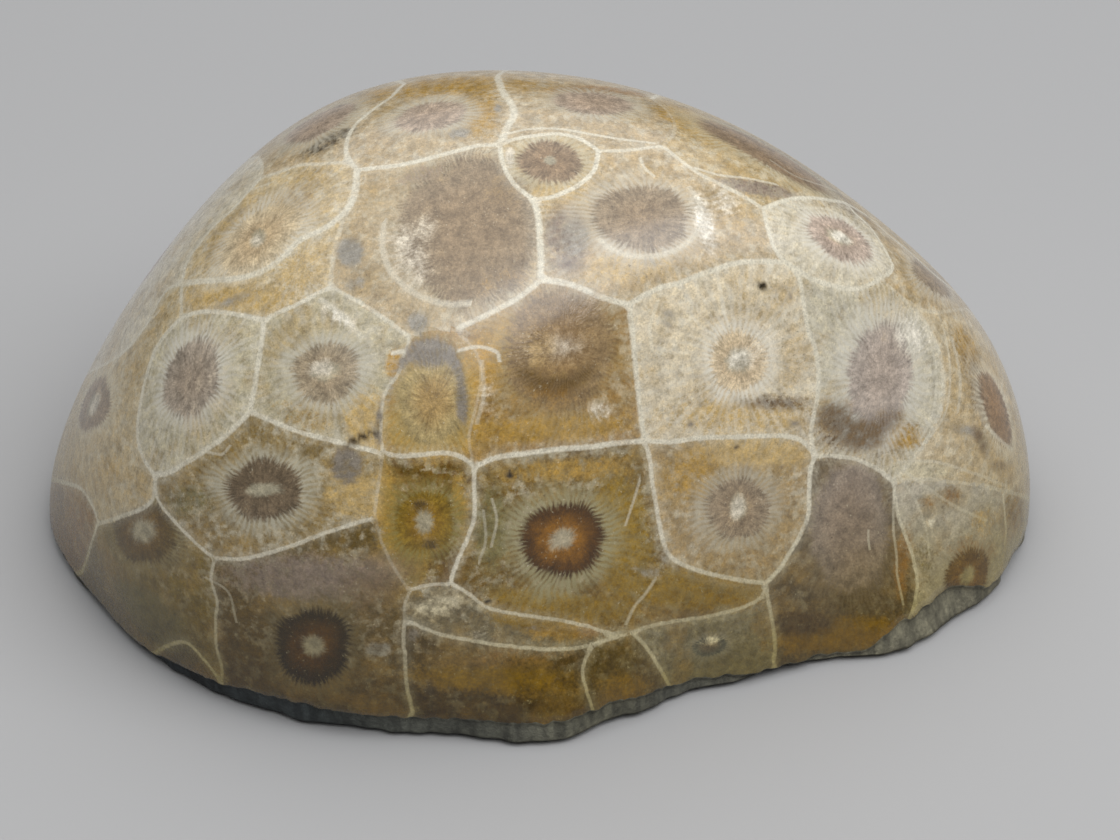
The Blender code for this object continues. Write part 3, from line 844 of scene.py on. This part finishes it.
# Place, width, height, lean, colour, strength
UNDER_THE_LINES = [
    (232, 298, 120, 26, -5, "pale ochre", 0.8), (302, 268, 80, 40, 40, "pale ochre", 0.45),
    (440, 84, 200, 20, 4, "ochre", 0.8), (482, 112, 40, 56, 0, "ochre", 0.6),
    (505, 205, 50, 80, -40, "brown", 0.6), (560, 208, 60, 60, 0, "pale ochre", 0.7),
    (620, 268, 130, 30, 8, "pale ochre", 0.7), (566, 240, 50, 70, 0, "mauve", 0.6),
    (500, 335, 60, 60, 0, "ochre", 0.7), (560, 428, 150, 30, 3, "ochre", 0.8),
    (432, 430, 96, 60, 0, "ochre", 0.95), (394, 364, 18, 26, 0, "deep ochre", 0.9),
    (480, 374, 36, 48, 10, "deep ochre", 0.9), (400, 562, 60, 70, 0, "low ochre", 0.9),
    (385, 500, 26, 70, 0, "ochre", 0.7), (622, 540, 60, 130, 8, "low ochre", 0.9),
    (700, 590, 130, 40, -6, "low ochre", 1.0), (560, 604, 140, 26, -8, "low ochre", 0.9),
    (545, 622, 110, 22, -5, "low ochre", 0.9), (492, 530, 44, 96, 0, "green", 0.6),
    (560, 470, 130, 26, 5, "ochre", 0.6), (760, 452, 120, 30, 0, "pale ochre", 0.8),
    (690, 478, 60, 50, 0, "ochre", 0.6), (740, 416, 150, 40, 0, "pale ochre", 0.6),
    (775, 402, 70, 16, 0, "brown", 0.5), (862, 428, 104, 54, -4, "brown", 0.7),
    (905, 437, 40, 26, 0, "ochre", 0.6), (490, 680, 190, 30, -3, "low ochre", 0.7),
    (625, 690, 50, 40, 0, "low ochre", 0.6), (520, 655, 120, 20, 0, "rust", 0.4),
    (300, 578, 170, 50, 0, "mauve", 0.7), (368, 600, 60, 60, 0, "brown", 0.4),
    (150, 540, 96, 60, -20, "low brown", 0.6), (150, 618, 120, 50, -38, "green", 0.7),
    (770, 152, 230, 24, -29, "brown", 0.8), (700, 124, 90, 26, -26, "ochre", 0.8),
    (760, 188, 90, 16, -10, "mauve", 0.8), (600, 90, 90, 12, 0, "rust", 0.9),
    (365, 420, 40, 60, 0, "pale ochre", 0.8), (302, 415, 60, 30, -20, "ochre", 0.4),
    (352, 492, 56, 56, 0, "pale ochre", 0.7), (190, 500, 60, 40, 0, "green", 0.5),
    (966, 345, 24, 46, 30, "ochre", 0.7), (920, 470, 70, 24, 0, "cream", 0.7),
    (925, 560, 30, 50, 0, "green", 0.4), (985, 520, 30, 30, 0, "pale ochre", 0.5),
    (1016, 508, 26, 40, 0, "low ochre", 0.7), (951, 496, 22, 18, 0, "rust", 0.6),
    (928, 503, 16, 12, 0, "rust", 0.5), (840, 634, 140, 34, 3, "low ochre", 0.9),
    (800, 622, 60, 24, 0, "low brown", 0.8), (862, 568, 56, 40, 0, "low brown", 0.45),
    (870, 486, 40, 50, 20, "low brown", 0.45), (835, 500, 40, 30, 0, "pale ochre", 0.3),
    (902, 560, 16, 70, -6, "rust", 0.8), (972, 552, 50, 30, 0, "rust", 0.6),
    (560, 634, 60, 16, 0, "ochre", 0.5), (590, 632, 26, 14, 0, "rust", 0.5),
    (330, 140, 70, 16, 27, "dark", 0.6), (985, 400, 30, 90, 24, "brown", 0.6),
    (940, 282, 50, 22, -42, "mauve", 0.6), (460, 500, 20, 60, 0, "ochre", 0.6),
    (232, 240, 60, 24, 45, "ochre", 0.4), (60, 500, 20, 60, 0, "brown", 0.4),
    (110, 470, 40, 30, 0, "pale ochre", 0.6),
]
OVER_THE_LINES = [
    (350, 252, 28, 32, 0, "spar", 0.95), (355, 284, 24, 14, 20, "spar", 0.7),
    (234, 301, 46, 12, 20, "spar", 0.6), (418, 322, 22, 22, 0, "spar", 0.9),
    (430, 352, 50, 32, 0, "dark spar", 0.85), (455, 364, 13, 34, 22, "dark spar", 0.8),
    (462, 402, 13, 52, 3, "dark spar", 0.85), (402, 364, 12, 24, -35, "dark spar", 0.7),
    (390, 390, 7, 40, -12, "spar", 0.5), (347, 466, 34, 40, 0, "dark spar", 0.85),
    (460, 133, 26, 12, 10, "spar", 0.8), (498, 108, 10, 12, 0, "spar", 0.8),
    (575, 238, 34, 44, 0, "spar", 0.55), (378, 650, 28, 20, 10, "spar", 0.75),
    (413, 635, 16, 14, 0, "dark spar", 0.7), (668, 318, 18, 22, 0, "spar", 0.5),
    (650, 262, 22, 9, 0, "spar", 0.6), (648, 572, 34, 12, -10, "spar", 0.6),
    (665, 556, 12, 22, 0, "spar", 0.5), (430, 690, 16, 20, 0, "dark", 0.6),
    (420, 505, 18, 13, 0, "dark", 0.7), (430, 545, 20, 11, 0, "dark", 0.7),
    (475, 665, 22, 10, 0, "dark", 0.6), (496, 700, 22, 10, 10, "dark", 0.6),
    (965, 430, 40, 13, -14, "spar", 0.6), (982, 442, 13, 34, 25, "brown", 0.7),
    # The pit marks here are painted shade: small open holes drawn dark.
    (1000, 466, 24, 13, 0, "brown", 0.5), (762, 286, 13, 9, -30, "pit shade", 1.0),
    (510, 474, 9, 9, 0, "pit shade", 1.0), (487, 601, 9, 6, -30, "pit shade", 0.9),
    (790, 296, 6, 12, 0, "dark spar", 0.6), (690, 423, 9, 7, 0, "dark spar", 0.8),
    (736, 447, 9, 7, 0, "dark", 0.8), (379, 424, 8, 46, -3, "dark spar", 0.8),
    (362, 437, 34, 9, 25, "dark", 0.9), (795, 424, 14, 8, 0, "dark spar", 0.7),
    (808, 525, 7, 24, -20, "dark spar", 0.6), (240, 510, 12, 6, 0, "dark spar", 0.4),
    # Painted highlights, on this line and the next: white and pale patches where a lamp's soft
    # reflection shows.
    (704, 222, 20, 64, 14, "white", 0.7), (722, 200, 40, 26, -40, "white", 0.5),
    (406, 256, 50, 96, 24, "pale", 0.5), (428, 226, 26, 30, 0, "pale", 0.4),
    (424, 174, 66, 22, 18, "mauve", 0.5), (505, 190, 34, 40, -30, "brown", 0.35),
    (500, 280, 60, 20, 20, "rust", 0.25), (575, 306, 84, 44, 0, "mauve", 0.4),
    (556, 346, 76, 32, 0, "mauve", 0.35), (528, 376, 34, 24, -30, "low brown", 0.5),
    (556, 386, 46, 26, 6, "low brown", 0.6), (584, 374, 34, 20, 30, "low brown", 0.5),
    (552, 350, 66, 26, 6, "pale", 0.3), (545, 402, 96, 26, 0, "rust", 0.3),
    (540, 350, 30, 40, 0, "ochre", 0.3), (836, 416, 40, 34, -14, "brown", 0.7),
    (864, 434, 54, 34, 6, "brown", 0.75), (890, 418, 34, 24, 24, "brown", 0.55),
    (510, 158, 11, 24, 0, "pale", 0.8), (338, 316, 44, 18, -38, "white", 0.55),
    (710, 640, 30, 7, 8, "white", 0.7), (764, 342, 50, 60, 0, "white", 0.4),
    (738, 360, 26, 24, 0, "white", 0.65), (296, 197, 54, 30, 40, "brown", 0.4),
    (258, 240, 18, 16, 0, "pale", 0.6), (321, 368, 30, 18, 12, "pale", 0.85),
    (94, 405, 12, 26, -25, "pale", 0.7), (841, 237, 26, 11, -28, "white", 0.8),
    (738, 508, 17, 26, -8, "pale", 0.7), (912, 335, 40, 54, 40, "white", 0.6),
    (560, 635, 12, 6, 0, "spar", 0.5), (535, 628, 30, 7, -4, "dark spar", 0.6),
    (480, 635, 16, 10, 0, "white", 0.6), (932, 523, 9, 11, 0, "white", 0.9),
    (440, 606, 60, 26, 10, "cream", 0.6), (210, 400, 50, 90, -12, "white", 0.25),
    (590, 715, 40, 8, 4, "cream", 0.6), (190, 222, 26, 60, -48, "white", 0.4),
    # The second patch on the next line, at 488,395, is a painted glint.
    (600, 412, 24, 20, 0, "white", 0.5), (488, 395, 20, 40, 0, "white", 0.4),
    (540, 205, 10, 20, 0, "white", 0.4),
]
CRISP, CRISP_FROM = ("spar", "dark spar"), 14  # these filled holes, so large ones have an edge
CRISP_EDGE, SOFT_EDGE = (0.6, 1.4), (0.35, 1.65)  # where a stain fades, in its own half widths
STAIN_REACH = 3.0  # an ellipse counts no further from its middle than this many widths
UNSTAINED = "#a58a58"


def lay_stains(stains):
    """Colour and cover at each vertex, each ellipse laid over those before it: stains, spar,
    painted highlights and painted pit shade.
    """
    colour, cover = np.tile(linear(UNSTAINED), (len(form), 1)), np.zeros(len(form))
    for x, y, width, height, lean, name, strength in stains:
        point, matrix = seen_frame(x, y, width, height, lean)
        apart = form - point
        away = np.linalg.norm(apart @ matrix.T, axis=1)
        close = np.linalg.norm(apart, axis=1) < STAIN_REACH * max(width, height) / PER_MM
        edge = CRISP_EDGE if name in CRISP and min(width, height) >= CRISP_FROM else SOFT_EDGE
        amount = strength * (1.0 - smoothstep(away, *edge)) * close
        colour += (linear(STAIN_AND_PAINTED_LIGHT_COLOURS[name]) - colour) * np.clip(2.0 * amount, 0, 1)[:, None]
        cover = 1.0 - (1.0 - cover) * (1.0 - amount)
    return np.column_stack([colour, cover])


carry("stain", "FLOAT_COLOR", lay_stains(UNDER_THE_LINES))
# This layer also holds painted highlights and the painted shade of open pits.
carry("spar", "FLOAT_COLOR", lay_stains(OVER_THE_LINES))

# %% [markdown]
# ## Polished coral limestone
#
# Calcite, ground and then buffed on a wheel. The polish is even and a little hazy, with fine
# scuffs, so reflections of a window or a lamp have soft edges, and the colours look deep, as when
# wet. All the pattern is in the colour, which is worked out from the attributes, because a polish
# cuts everything level; only the pits and the softer spar give it a little relief.

# %% Functions that add nodes
def start_material(name):
    material = bpy.data.materials.new(name)
    material.use_nodes = True
    material.node_tree.nodes.clear()
    return material


def node(kind, inputs=(), out=0, **settings):
    """Adds a node to the material in hand; inputs go by order or by name. Returns an output."""
    made = material.node_tree.nodes.new("ShaderNode" + kind)
    for key, value in settings.items():
        setattr(made, key, value)
    for key, value in inputs.items() if isinstance(inputs, dict) else enumerate(inputs):
        if isinstance(value, bpy.types.NodeSocket):
            material.node_tree.links.new(value, made.inputs[key])
        else:
            made.inputs[key].default_value = value
    return made.outputs[out] if made.outputs else None


def calc(operation, *values):
    """A step of arithmetic on numbers."""
    return node("Math", values, operation=operation)


def vector(operation, *values, out=0):
    """A step of arithmetic on vectors."""
    return node("VectorMath", values, out, operation=operation)


def scaled(colour, amount):
    """A colour or a vector, times a number."""
    return node("VectorMath", {0: colour, "Scale": amount}, operation="SCALE")


def part(whole, axis):
    """One of the three numbers in a vector or a colour."""
    return node("SeparateXYZ", (whole,), out=axis)


def ramp(value, low, high, start=0.0, end=1.0, soft=False):
    """Goes from start to end as the value goes from low to high, and no further."""
    return node("MapRange", {"Value": value, "From Min": low, "From Max": high,
                             "To Min": start, "To Max": end},
                interpolation_type="SMOOTHSTEP" if soft else "LINEAR")


def mix(amount, under, over, **settings):
    """One colour laid over another."""
    return node("Mix", {0: amount, 6: under, 7: over}, out=2, data_type="RGBA", **settings)


def cloud(where, per_mm, detail, roughness=0.5, out=0):
    """Soft noise."""
    return node("TexNoise", {"Vector": where, "Scale": per_mm, "Detail": detail,
                             "Roughness": roughness}, out=out)


def carried(name, out="Vector"):
    """What an attribute brings from the mesh."""
    return node("Attribute", out=out, attribute_name=name)


def hex_rgba(hex_colour):
    return (*linear(hex_colour), 1.0)


def hex_rgb(hex_colour):
    return tuple(linear(hex_colour))


# %% Coordinates and noise
SLOW_PER_MM, MOTTLE_PER_MM, FINE_PER_MM, GRAIN_PER_MM = 0.22, 0.9, 3.2, 6.5

material = start_material("polished coral limestone")
place = vector("MULTIPLY", node("TexCoord", out="Object"), (1 / MM,) * 3)
slow = cloud(place, SLOW_PER_MM, 3.0, out="Color")
mottle = cloud(place, MOTTLE_PER_MM, 4.0, 0.6, out="Color")
fine = cloud(place, FINE_PER_MM, 3.0, 0.65, out="Color")
grain = cloud(place, GRAIN_PER_MM, 2.0, 0.7)
slow_x, slow_y = (part(slow, i) for i in range(2))
mottle_x, mottle_y, mottle_z = (part(mottle, i) for i in range(3))
fine_x, fine_y, fine_z = (part(fine, i) for i in range(3))

# %% Polar coordinates in the cell
WAVER, FINE_WAVER = 0.55, 0.12  # how far from a true ellipse a disc strays, in disc radii

corallite = carried("corallite")
septa_count = part(corallite, 2)
strays = []
for way, amount in ((slow, WAVER), (mottle, FINE_WAVER)):
    centred = vector("SUBTRACT", way, (0.5, 0.5, 0.5))
    strays.append(vector("MULTIPLY", centred, (amount, amount, 0.0)))
strayed = vector("ADD", *strays)
polar = vector("ADD", vector("MULTIPLY", corallite, (1, 1, 0)), strayed)
radial = vector("LENGTH", polar, out="Value")
heading = vector("NORMALIZE", polar)
angle = calc("ARCTAN2", part(polar, 1), part(polar, 0))

# %% Septa: pale plates that run out from the middle
# Two lengths of streak: how often round the disc, per septum, and how often outwards, per radius.
STREAKS = ((0.16, 2.2), (0.42, 4.5))
STREAK_RANGE = (0.72, 1.28)
SEPTA_JITTER = 3.0  # in radians
STREAK_SHARE = 1.6  # of the streaks in a septum, against one of the even wave

turns = calc("MULTIPLY_ADD", angle, septa_count, calc("MULTIPLY", mottle_y, SEPTA_JITTER))
wave = calc("COSINE", turns)
streaks = []
for per_septum, outward in STREAKS:
    round_disc = scaled(heading, calc("MULTIPLY", septa_count, per_septum))
    outwards = node("CombineXYZ", (0.0, 0.0, calc("MULTIPLY", radial, outward)))
    streaks.append(cloud(vector("ADD", round_disc, outwards), 1.0, 2.0, 0.6))
streak = ramp(calc("ADD", *streaks), *STREAK_RANGE)
septum = ramp(calc("MULTIPLY_ADD", streak, STREAK_SHARE, wave), 0.0, 1.9, soft=True)

# %% Colours and facts handed over by the attributes
disc_colour = carried("disc_colour", "Color")
(halo_colour, halo_plain), (mesh_colour, septa_plain), (stain, stain_cover), (spar, spar_and_painted_light_cover) = (
    (carried(name, "Color"), carried(name, "Alpha"))
    for name in ("halo_colour", "mesh_colour", "stain", "spar"))
facts, wall, loose_line = (carried(name) for name in ("facts", "wall", "loose_line"))
has_disc, glow, has_knob = (part(facts, i) for i in range(3))
wall_off, wall_plain, disc_radius = (part(wall, i) for i in range(3))
loose_off, loose_plain = (part(loose_line, i) for i in range(2))

# %% Painted shade towards the base, with the base's own brown
SHADE_ABOVE, SHADE_FULL = 18.0, 3.0  # heights where the painted shade and brown begin and where they are full, in mm
SHADE_WANDERS = 6.0  # how much the slow noise lifts its edge, in mm

height = calc("ADD", part(place, 2), calc("MULTIPLY", slow_x, SHADE_WANDERS))
brown_and_shade = ramp(height, SHADE_ABOVE + SHADE_WANDERS / 2, SHADE_FULL + SHADE_WANDERS / 2)
# The pale patches of the mesh fade out into the painted shade towards the base.
clear_of_brown_and_shade = ramp(brown_and_shade, 0.0, 1.0, 1.0, 0.25)

# %% How light and dark the calcite is
# Each of these four numbers goes to ramp: from, to, and the values there.
GRAIN_TONE, FINE_TONE = (0.3, 0.7, 0.82, 1.18), (0.35, 0.65, 0.84, 1.16)
MOTTLE_TONE = (0.35, 0.65, 0.76, 1.23)

graininess = calc("MULTIPLY", ramp(grain, *GRAIN_TONE), ramp(fine_x, *FINE_TONE))
tone = calc("MULTIPLY", ramp(mottle_x, *MOTTLE_TONE), graininess)

# %% The mesh between disc and wall
BUBBLES_PER_MM = 1.1  # the vesicles are about a millimetre across
BUBBLES_PUSHED = 0.9  # out of line by the fine noise, in mm
BUBBLE_WALL, BUBBLE_SHOW = (0.02, 0.14, 1.0, 0.0), 0.26
SEPTA_SHOW = 0.5
LINES_FADE = (0.35, 0.65, 0.3, 1.4)
STAIN_EDGE = (1.1, 1.75)

bubble_place = vector("ADD", place, scaled(fine, BUBBLES_PUSHED))
bubble_edge = node("TexVoronoi", {"Vector": bubble_place, "Scale": BUBBLES_PER_MM},
                   out="Distance", feature="DISTANCE_TO_EDGE")
bubble_wall = ramp(bubble_edge, *BUBBLE_WALL, soft=True)
mesh = mesh_colour
for where, low, high, amount, tint, limit in (
        (mottle_z, 0.5, 0.64, 0.5, "#dcd0b2", clear_of_brown_and_shade), (slow_y, 0.5, 0.62, 0.45, "#a9894a", 1.0),
        (mottle_y, 0.42, 0.3, 0.4, "#7d6540", 1.0)):
    patches = ramp(where, low, high, 0.0, amount)
    mesh = mix(calc("MULTIPLY", patches, limit), mesh, hex_rgba(tint))
stain_broken = ramp(calc("ADD", stain_cover, calc("ADD", mottle_y, fine_y)), *STAIN_EDGE,
                    soft=True)
stained = mix(stain_broken, scaled(mesh, tone), scaled(stain, tone))
pale_lines = calc("MAXIMUM", calc("MULTIPLY", bubble_wall, BUBBLE_SHOW),
                  calc("MULTIPLY", calc("MULTIPLY", septum, septa_plain), SEPTA_SHOW))
line_amount = calc("MULTIPLY", pale_lines, ramp(mottle_z, *LINES_FADE))
lined = mix(line_amount, stained, halo_colour)

# %% The halo round a disc
HALO_WANDERS, HALO_EDGE = 0.9, (0.6, 1.2, 1.0, 0.0)  # in disc radii
HALO_FIBRE = (0.0, 0.8, 0.55, 1.0)

halo_reach = calc("SUBTRACT", radial, calc("MULTIPLY", slow_x, HALO_WANDERS))
halo_fade = ramp(halo_reach, *HALO_EDGE, soft=True)
halo_fibre = ramp(calc("MULTIPLY", septum, graininess), *HALO_FIBRE)
halo_amount = calc("MULTIPLY", calc("MULTIPLY", halo_fade, halo_fibre),
                   calc("MULTIPLY", halo_plain, has_disc))
haloed = mix(halo_amount, lined, halo_colour)

# %% The disc, streaked by septa, with ochre glowing out from its middle
SEPTA_RAGGED, STREAKS_RAGGED = 0.07, 0.3  # how far septa cut into the disc's edge, in disc radii
DISC_EDGE = (1.02, 1.28, 1.0, 0.0)
STREAK_DEPTH = (3.0, 6.0, 0.56, 0.16)  # deep in a disc of 3 mm radius, faint in one of 6 mm
GLOW_COLOUR, GLOW_RAGGED, GLOW_EDGE = "#a56e16", 0.3, (0.4, 1.05, 0.8, 0.0)

ragged = calc("ADD", calc("MULTIPLY_ADD", septum, SEPTA_RAGGED, radial),
              calc("MULTIPLY", streaks[1], STREAKS_RAGGED))
disc_amount = calc("MULTIPLY", ramp(ragged, *DISC_EDGE, soft=True), has_disc)
disc_streaked = calc("MULTIPLY_ADD", calc("SUBTRACT", streak, 0.5),
                     ramp(disc_radius, *STREAK_DEPTH), 1.0)
disc_tone = calc("MULTIPLY", disc_streaked, tone)
glow_reach = calc("ADD", radial, calc("MULTIPLY", streak, GLOW_RAGGED))
glow_amount = calc("MULTIPLY", ramp(glow_reach, *GLOW_EDGE, soft=True), glow)
disc = mix(glow_amount, scaled(disc_colour, disc_tone), scaled(hex_rgb(GLOW_COLOUR), disc_tone))
with_disc = mix(disc_amount, haloed, disc)

# %% The columella, a pale knob in the middle
KNOB_COLOUR, KNOB_STRAYS, KNOB_RAGGED = "#b3aa8e", 2.4, 0.5
KNOB_EDGE = (0.85, 1.65, 0.8, 0.0)

knob_place = vector("ADD", vector("MULTIPLY", carried("columella"), (1, 1, 0)),
                    vector("MULTIPLY", strayed, (KNOB_STRAYS, KNOB_STRAYS, 0.0)))
knob_away = calc("ADD", vector("LENGTH", knob_place, out="Value"),
                 calc("MULTIPLY", streak, KNOB_RAGGED))
knob_amount = calc("MULTIPLY", ramp(knob_away, *KNOB_EDGE, soft=True), has_knob)
with_knob = mix(knob_amount, with_disc, scaled(hex_rgb(KNOB_COLOUR), tone))

# %% Walls and loose lines
WALL_COLOUR = "#e2d9c0"
WALL_WAVER = 0.75  # this and the edges below are in half widths of the wall
WALL_EDGE, WALL_SKIRT = (0.35, 1.3, 0.95, 0.0), (0.6, 4.5, 0.26, 0.0)
WALL_FADE, LOOSE_EDGE = (0.3, 0.5, 0.65, 1.0), (0.3, 1.4, 0.85, 0.0)

wall_shake = calc("MULTIPLY", calc("SUBTRACT", fine_y, 0.5), WALL_WAVER)
wall_away, loose_away = (calc("ABSOLUTE", calc("ADD", off, wall_shake))
                         for off in (wall_off, loose_off))
wall_skirt = calc("MULTIPLY", ramp(wall_away, *WALL_SKIRT, soft=True), halo_fibre)
wall_amount = calc("MULTIPLY",
                   calc("MAXIMUM", ramp(wall_away, *WALL_EDGE, soft=True), wall_skirt),
                   calc("MULTIPLY", wall_plain, ramp(mottle_z, *WALL_FADE)))
loose_amount = calc("MULTIPLY", ramp(loose_away, *LOOSE_EDGE, soft=True), loose_plain)
wall_toned = scaled(hex_rgb(WALL_COLOUR), graininess)
walled = mix(loose_amount, mix(wall_amount, with_knob, wall_toned), wall_toned)

# %% Spar and painted light on top, specks, and the painted shade and brown of the base over everything
# How much of each goes into the ragged edge of the spar and painted light, and where that edge is
SPAR_FINE, SPAR_SEPTUM, SPAR_MOTTLE, SPAR_EDGE = 0.5, 0.15, 1.4, (1.1, 2.0)
SPAR_LIMIT = 5.0  # times its cover, so that none shows far from a stain
SPECK_CORE, SPECKS_WHERE = 0.35, (0.5, 0.58)
# Multiplied in towards the base: painted shade, and the base's own brown.
BROWN_AND_SHADE_TINT = "#c3b987"

# The spar layer also lays the painted highlights and the painted shade of the pits over the lines.
spar_and_painted_light_amount = calc("ADD", calc("MULTIPLY_ADD", fine_x, SPAR_FINE, spar_and_painted_light_cover),
                   calc("MULTIPLY_ADD", septum, SPAR_SEPTUM,
                        calc("MULTIPLY", mottle_x, SPAR_MOTTLE)))
spar_and_painted_light_amount = calc("MINIMUM", ramp(spar_and_painted_light_amount, *SPAR_EDGE, soft=True),
                   calc("MULTIPLY", spar_and_painted_light_cover, SPAR_LIMIT))
speckled = mix(spar_and_painted_light_amount, walled, scaled(spar, tone))
for per_mm, size, tint, amount, where in (
        (1.5, 0.17, "#4a3d28", 0.6, slow_y), (2.3, 0.19, "#efe3c2", 0.6, mottle_z)):
    away = node("TexVoronoi", {"Vector": bubble_place, "Scale": per_mm}, out="Distance")
    speck = calc("MULTIPLY", ramp(away, SPECK_CORE * size, size, amount, 0.0),
                 ramp(where, *SPECKS_WHERE))
    speckled = mix(speck, speckled, hex_rgba(tint))
# Painted shade over everything: darker and browner towards the base.
coloured = mix(brown_and_shade, speckled, hex_rgba(BROWN_AND_SHADE_TINT), blend_type="MULTIPLY")

# %% Shader
CALCITE_IOR, WAX_IOR = 1.52, 1.45
HAZE = (0.3, 0.7, 0.2, 0.34)  # how rough the polish is
SPAR_SINKS, FINE_RELIEF, RELIEF = -0.6, 0.2, 0.1  # the last in millimetres
RELIEF_STRENGTH = 0.3
WAX_SHARE, WAX_ROUGHNESS = 0.25, 0.12

relief = calc("ADD", calc("MULTIPLY", spar_and_painted_light_amount, SPAR_SINKS),
              calc("MULTIPLY", fine_x, FINE_RELIEF))
bump = node("Bump", {"Height": relief, "Strength": RELIEF_STRENGTH, "Distance": RELIEF * MM})
shader = node("BsdfPrincipled", {
    "Base Color": coloured, "Roughness": ramp(fine_z, *HAZE), "IOR": CALCITE_IOR,
    "Coat Weight": WAX_SHARE, "Coat Roughness": WAX_ROUGHNESS, "Coat IOR": WAX_IOR,
    "Normal": bump})
node("OutputMaterial", {"Surface": shader})
stone.data.materials.append(material)
print("polished limestone:", len(material.node_tree.nodes), "nodes")

# %% [markdown]
# ## Rough broken limestone
#
# The base was never ground. Broken limestone is matt and grey, with the walls of the lowest
# corallites standing out in it as fine ribs, and it is paler where it has rubbed.

# %% Rough material
RIBS_PER_MM, RIBS_DRAWN_OUT = 1.2, 0.12  # ribs stand upright, so they change slowly with height
ROUGH_MOTTLE, ROUGH_GRAIN = (0.3, 0.7, 0.6, 1.4), (0.3, 0.7, 0.7, 1.3)
RIB_TONE = (0.4, 0.6, 0.74, 1.28)
ROUGH_RELIEF, ROUGH_STRENGTH = 0.3, 0.8  # the first in millimetres
ROUGH_HAZE, LIMESTONE_IOR = 0.75, 1.5

material = start_material("rough broken limestone")
place = vector("MULTIPLY", node("TexCoord", out="Object"), (1 / MM,) * 3)
mottle_x = part(cloud(place, 0.35, 5.0, 0.65, out="Color"), 0)
grain = cloud(place, 2.4, 4.0, 0.7)
rib = cloud(vector("MULTIPLY", place, (1.0, 1.0, RIBS_DRAWN_OUT)), RIBS_PER_MM, 1.0)
tone = calc("MULTIPLY", ramp(mottle_x, *ROUGH_MOTTLE), ramp(grain, *ROUGH_GRAIN))
tone = calc("MULTIPLY", tone, ramp(rib, *RIB_TONE))
bump = node("Bump", {"Height": calc("ADD", grain, rib), "Strength": ROUGH_STRENGTH,
                     "Distance": ROUGH_RELIEF * MM})
shader = node("BsdfPrincipled", {"Base Color": scaled(carried("rough_tint", "Color"), tone),
                                 "Roughness": ROUGH_HAZE, "IOR": LIMESTONE_IOR,
                                 "Normal": bump})
node("OutputMaterial", {"Surface": shader})
stone.data.materials.append(material)
print("rough limestone:", len(material.node_tree.nodes), "nodes")

# %% The tint of the broken rock, which changes round the base
ROUGH_TINTS = (  # azimuth, colour
    (-180, "#5f5b4c"), (-160, "#4a483f"), (-145, "#2b3032"), (-122, "#3a3f3e"), (-110, "#53544b"),
    (-95, "#57564a"), (-80, "#64614f"), (-68, "#4f4e43"), (-48, "#524f42"), (-30, "#6f6a56"),
    (0, "#6d6856"), (60, "#615c4b"), (120, "#655f4f"), (180, "#5f5b4c"),
)
turned = np.degrees(np.arctan2(form[:, 1], form[:, 0]))
tints = np.array([linear(colour) for _, colour in ROUGH_TINTS])
bearings = [bearing for bearing, _ in ROUGH_TINTS]
carry("rough_tint", "FLOAT_COLOR", np.column_stack(
    [*(np.interp(turned, bearings, tints[:, i]) for i in range(3)), np.ones(len(form))]))
rough_face = np.array([min(ring[v] for v in face) >= DOME_RINGS for face in faces])
stone.data.polygons.foreach_set("material_index", rough_face.astype(int))
stone.data.update()

# %% [markdown]
# ## Floor and light
#
# A pale matt floor under a very wide, soft lamp overhead, like a white ceiling, and a narrower key
# lamp from the front left. The polish shows the first as a haze on the upper slopes, and the key
# brings out the front's colours and the ribs of the base.

# %% Floor and light
FLOOR_SIZE, FLOOR_COLOUR, FLOOR_HAZE = 3.0, "#b3b1ad", 0.9
# The overhead lamp, in metres: its height, front edge, back edge and width
LAMP_HEIGHT, LAMP_FRONT, LAMP_BACK, LAMP_WIDTH = 0.6, -0.66, 0.95, 0.9
KEY_HEADING, KEY_RISE, KEY_AWAY = -52.0, 52.0, 0.75  # degrees, degrees, metres
KEY_SIZE = (1.0, 0.4)
LAMP_WATTS, KEY_WATTS = 5.7, 3.7
LAMP_COLOUR, ROOM_COLOUR, ROOM_STRENGTH = "#f5f8ff", "#dfe3e8", 0.1

bpy.ops.mesh.primitive_plane_add(size=FLOOR_SIZE, location=(0, 0, 0))
floor = bpy.context.object
floor.name = "floor"
material = start_material("pale matt floor")
node("OutputMaterial", {"Surface": node("BsdfPrincipled", {
    "Base Color": hex_rgba(FLOOR_COLOUR), "Roughness": FLOOR_HAZE})})
floor.data.materials.append(material)

lamps = (
    ("overhead lamp", (0.0, (LAMP_FRONT + LAMP_BACK) / 2, LAMP_HEIGHT), (0.0, 0.0, 0.0),
     (LAMP_WIDTH, LAMP_BACK - LAMP_FRONT), LAMP_WATTS),
    ("key lamp", Vector(facing(KEY_HEADING, KEY_RISE).tolist()) * KEY_AWAY,
     (math.radians(90 - KEY_RISE), 0.0, math.radians(90 + KEY_HEADING)), KEY_SIZE, KEY_WATTS),
)
for name, location, rotation, size, watts in lamps:
    bpy.ops.object.light_add(type="AREA", location=location, rotation=rotation)
    lamp = bpy.context.object
    lamp.name = name
    lamp.data.shape = "RECTANGLE"
    (lamp.data.size, lamp.data.size_y), lamp.data.energy = size, watts
    lamp.data.color = linear(LAMP_COLOUR)
bpy.context.scene.world = bpy.context.scene.world or bpy.data.worlds.new("room")
bpy.context.scene.world.use_nodes = True
room = bpy.context.scene.world.node_tree.nodes["Background"]
room.inputs["Color"].default_value = hex_rgba(ROOM_COLOUR)
room.inputs["Strength"].default_value = ROOM_STRENGTH
bpy.context.scene.view_settings.view_transform = "Standard"
bpy.ops.object.select_all(action="DESELECT")
print("lamps:", [lamp[0] for lamp in lamps])

# %% Hand over
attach(stone, "root")
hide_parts(CAD_NODE)
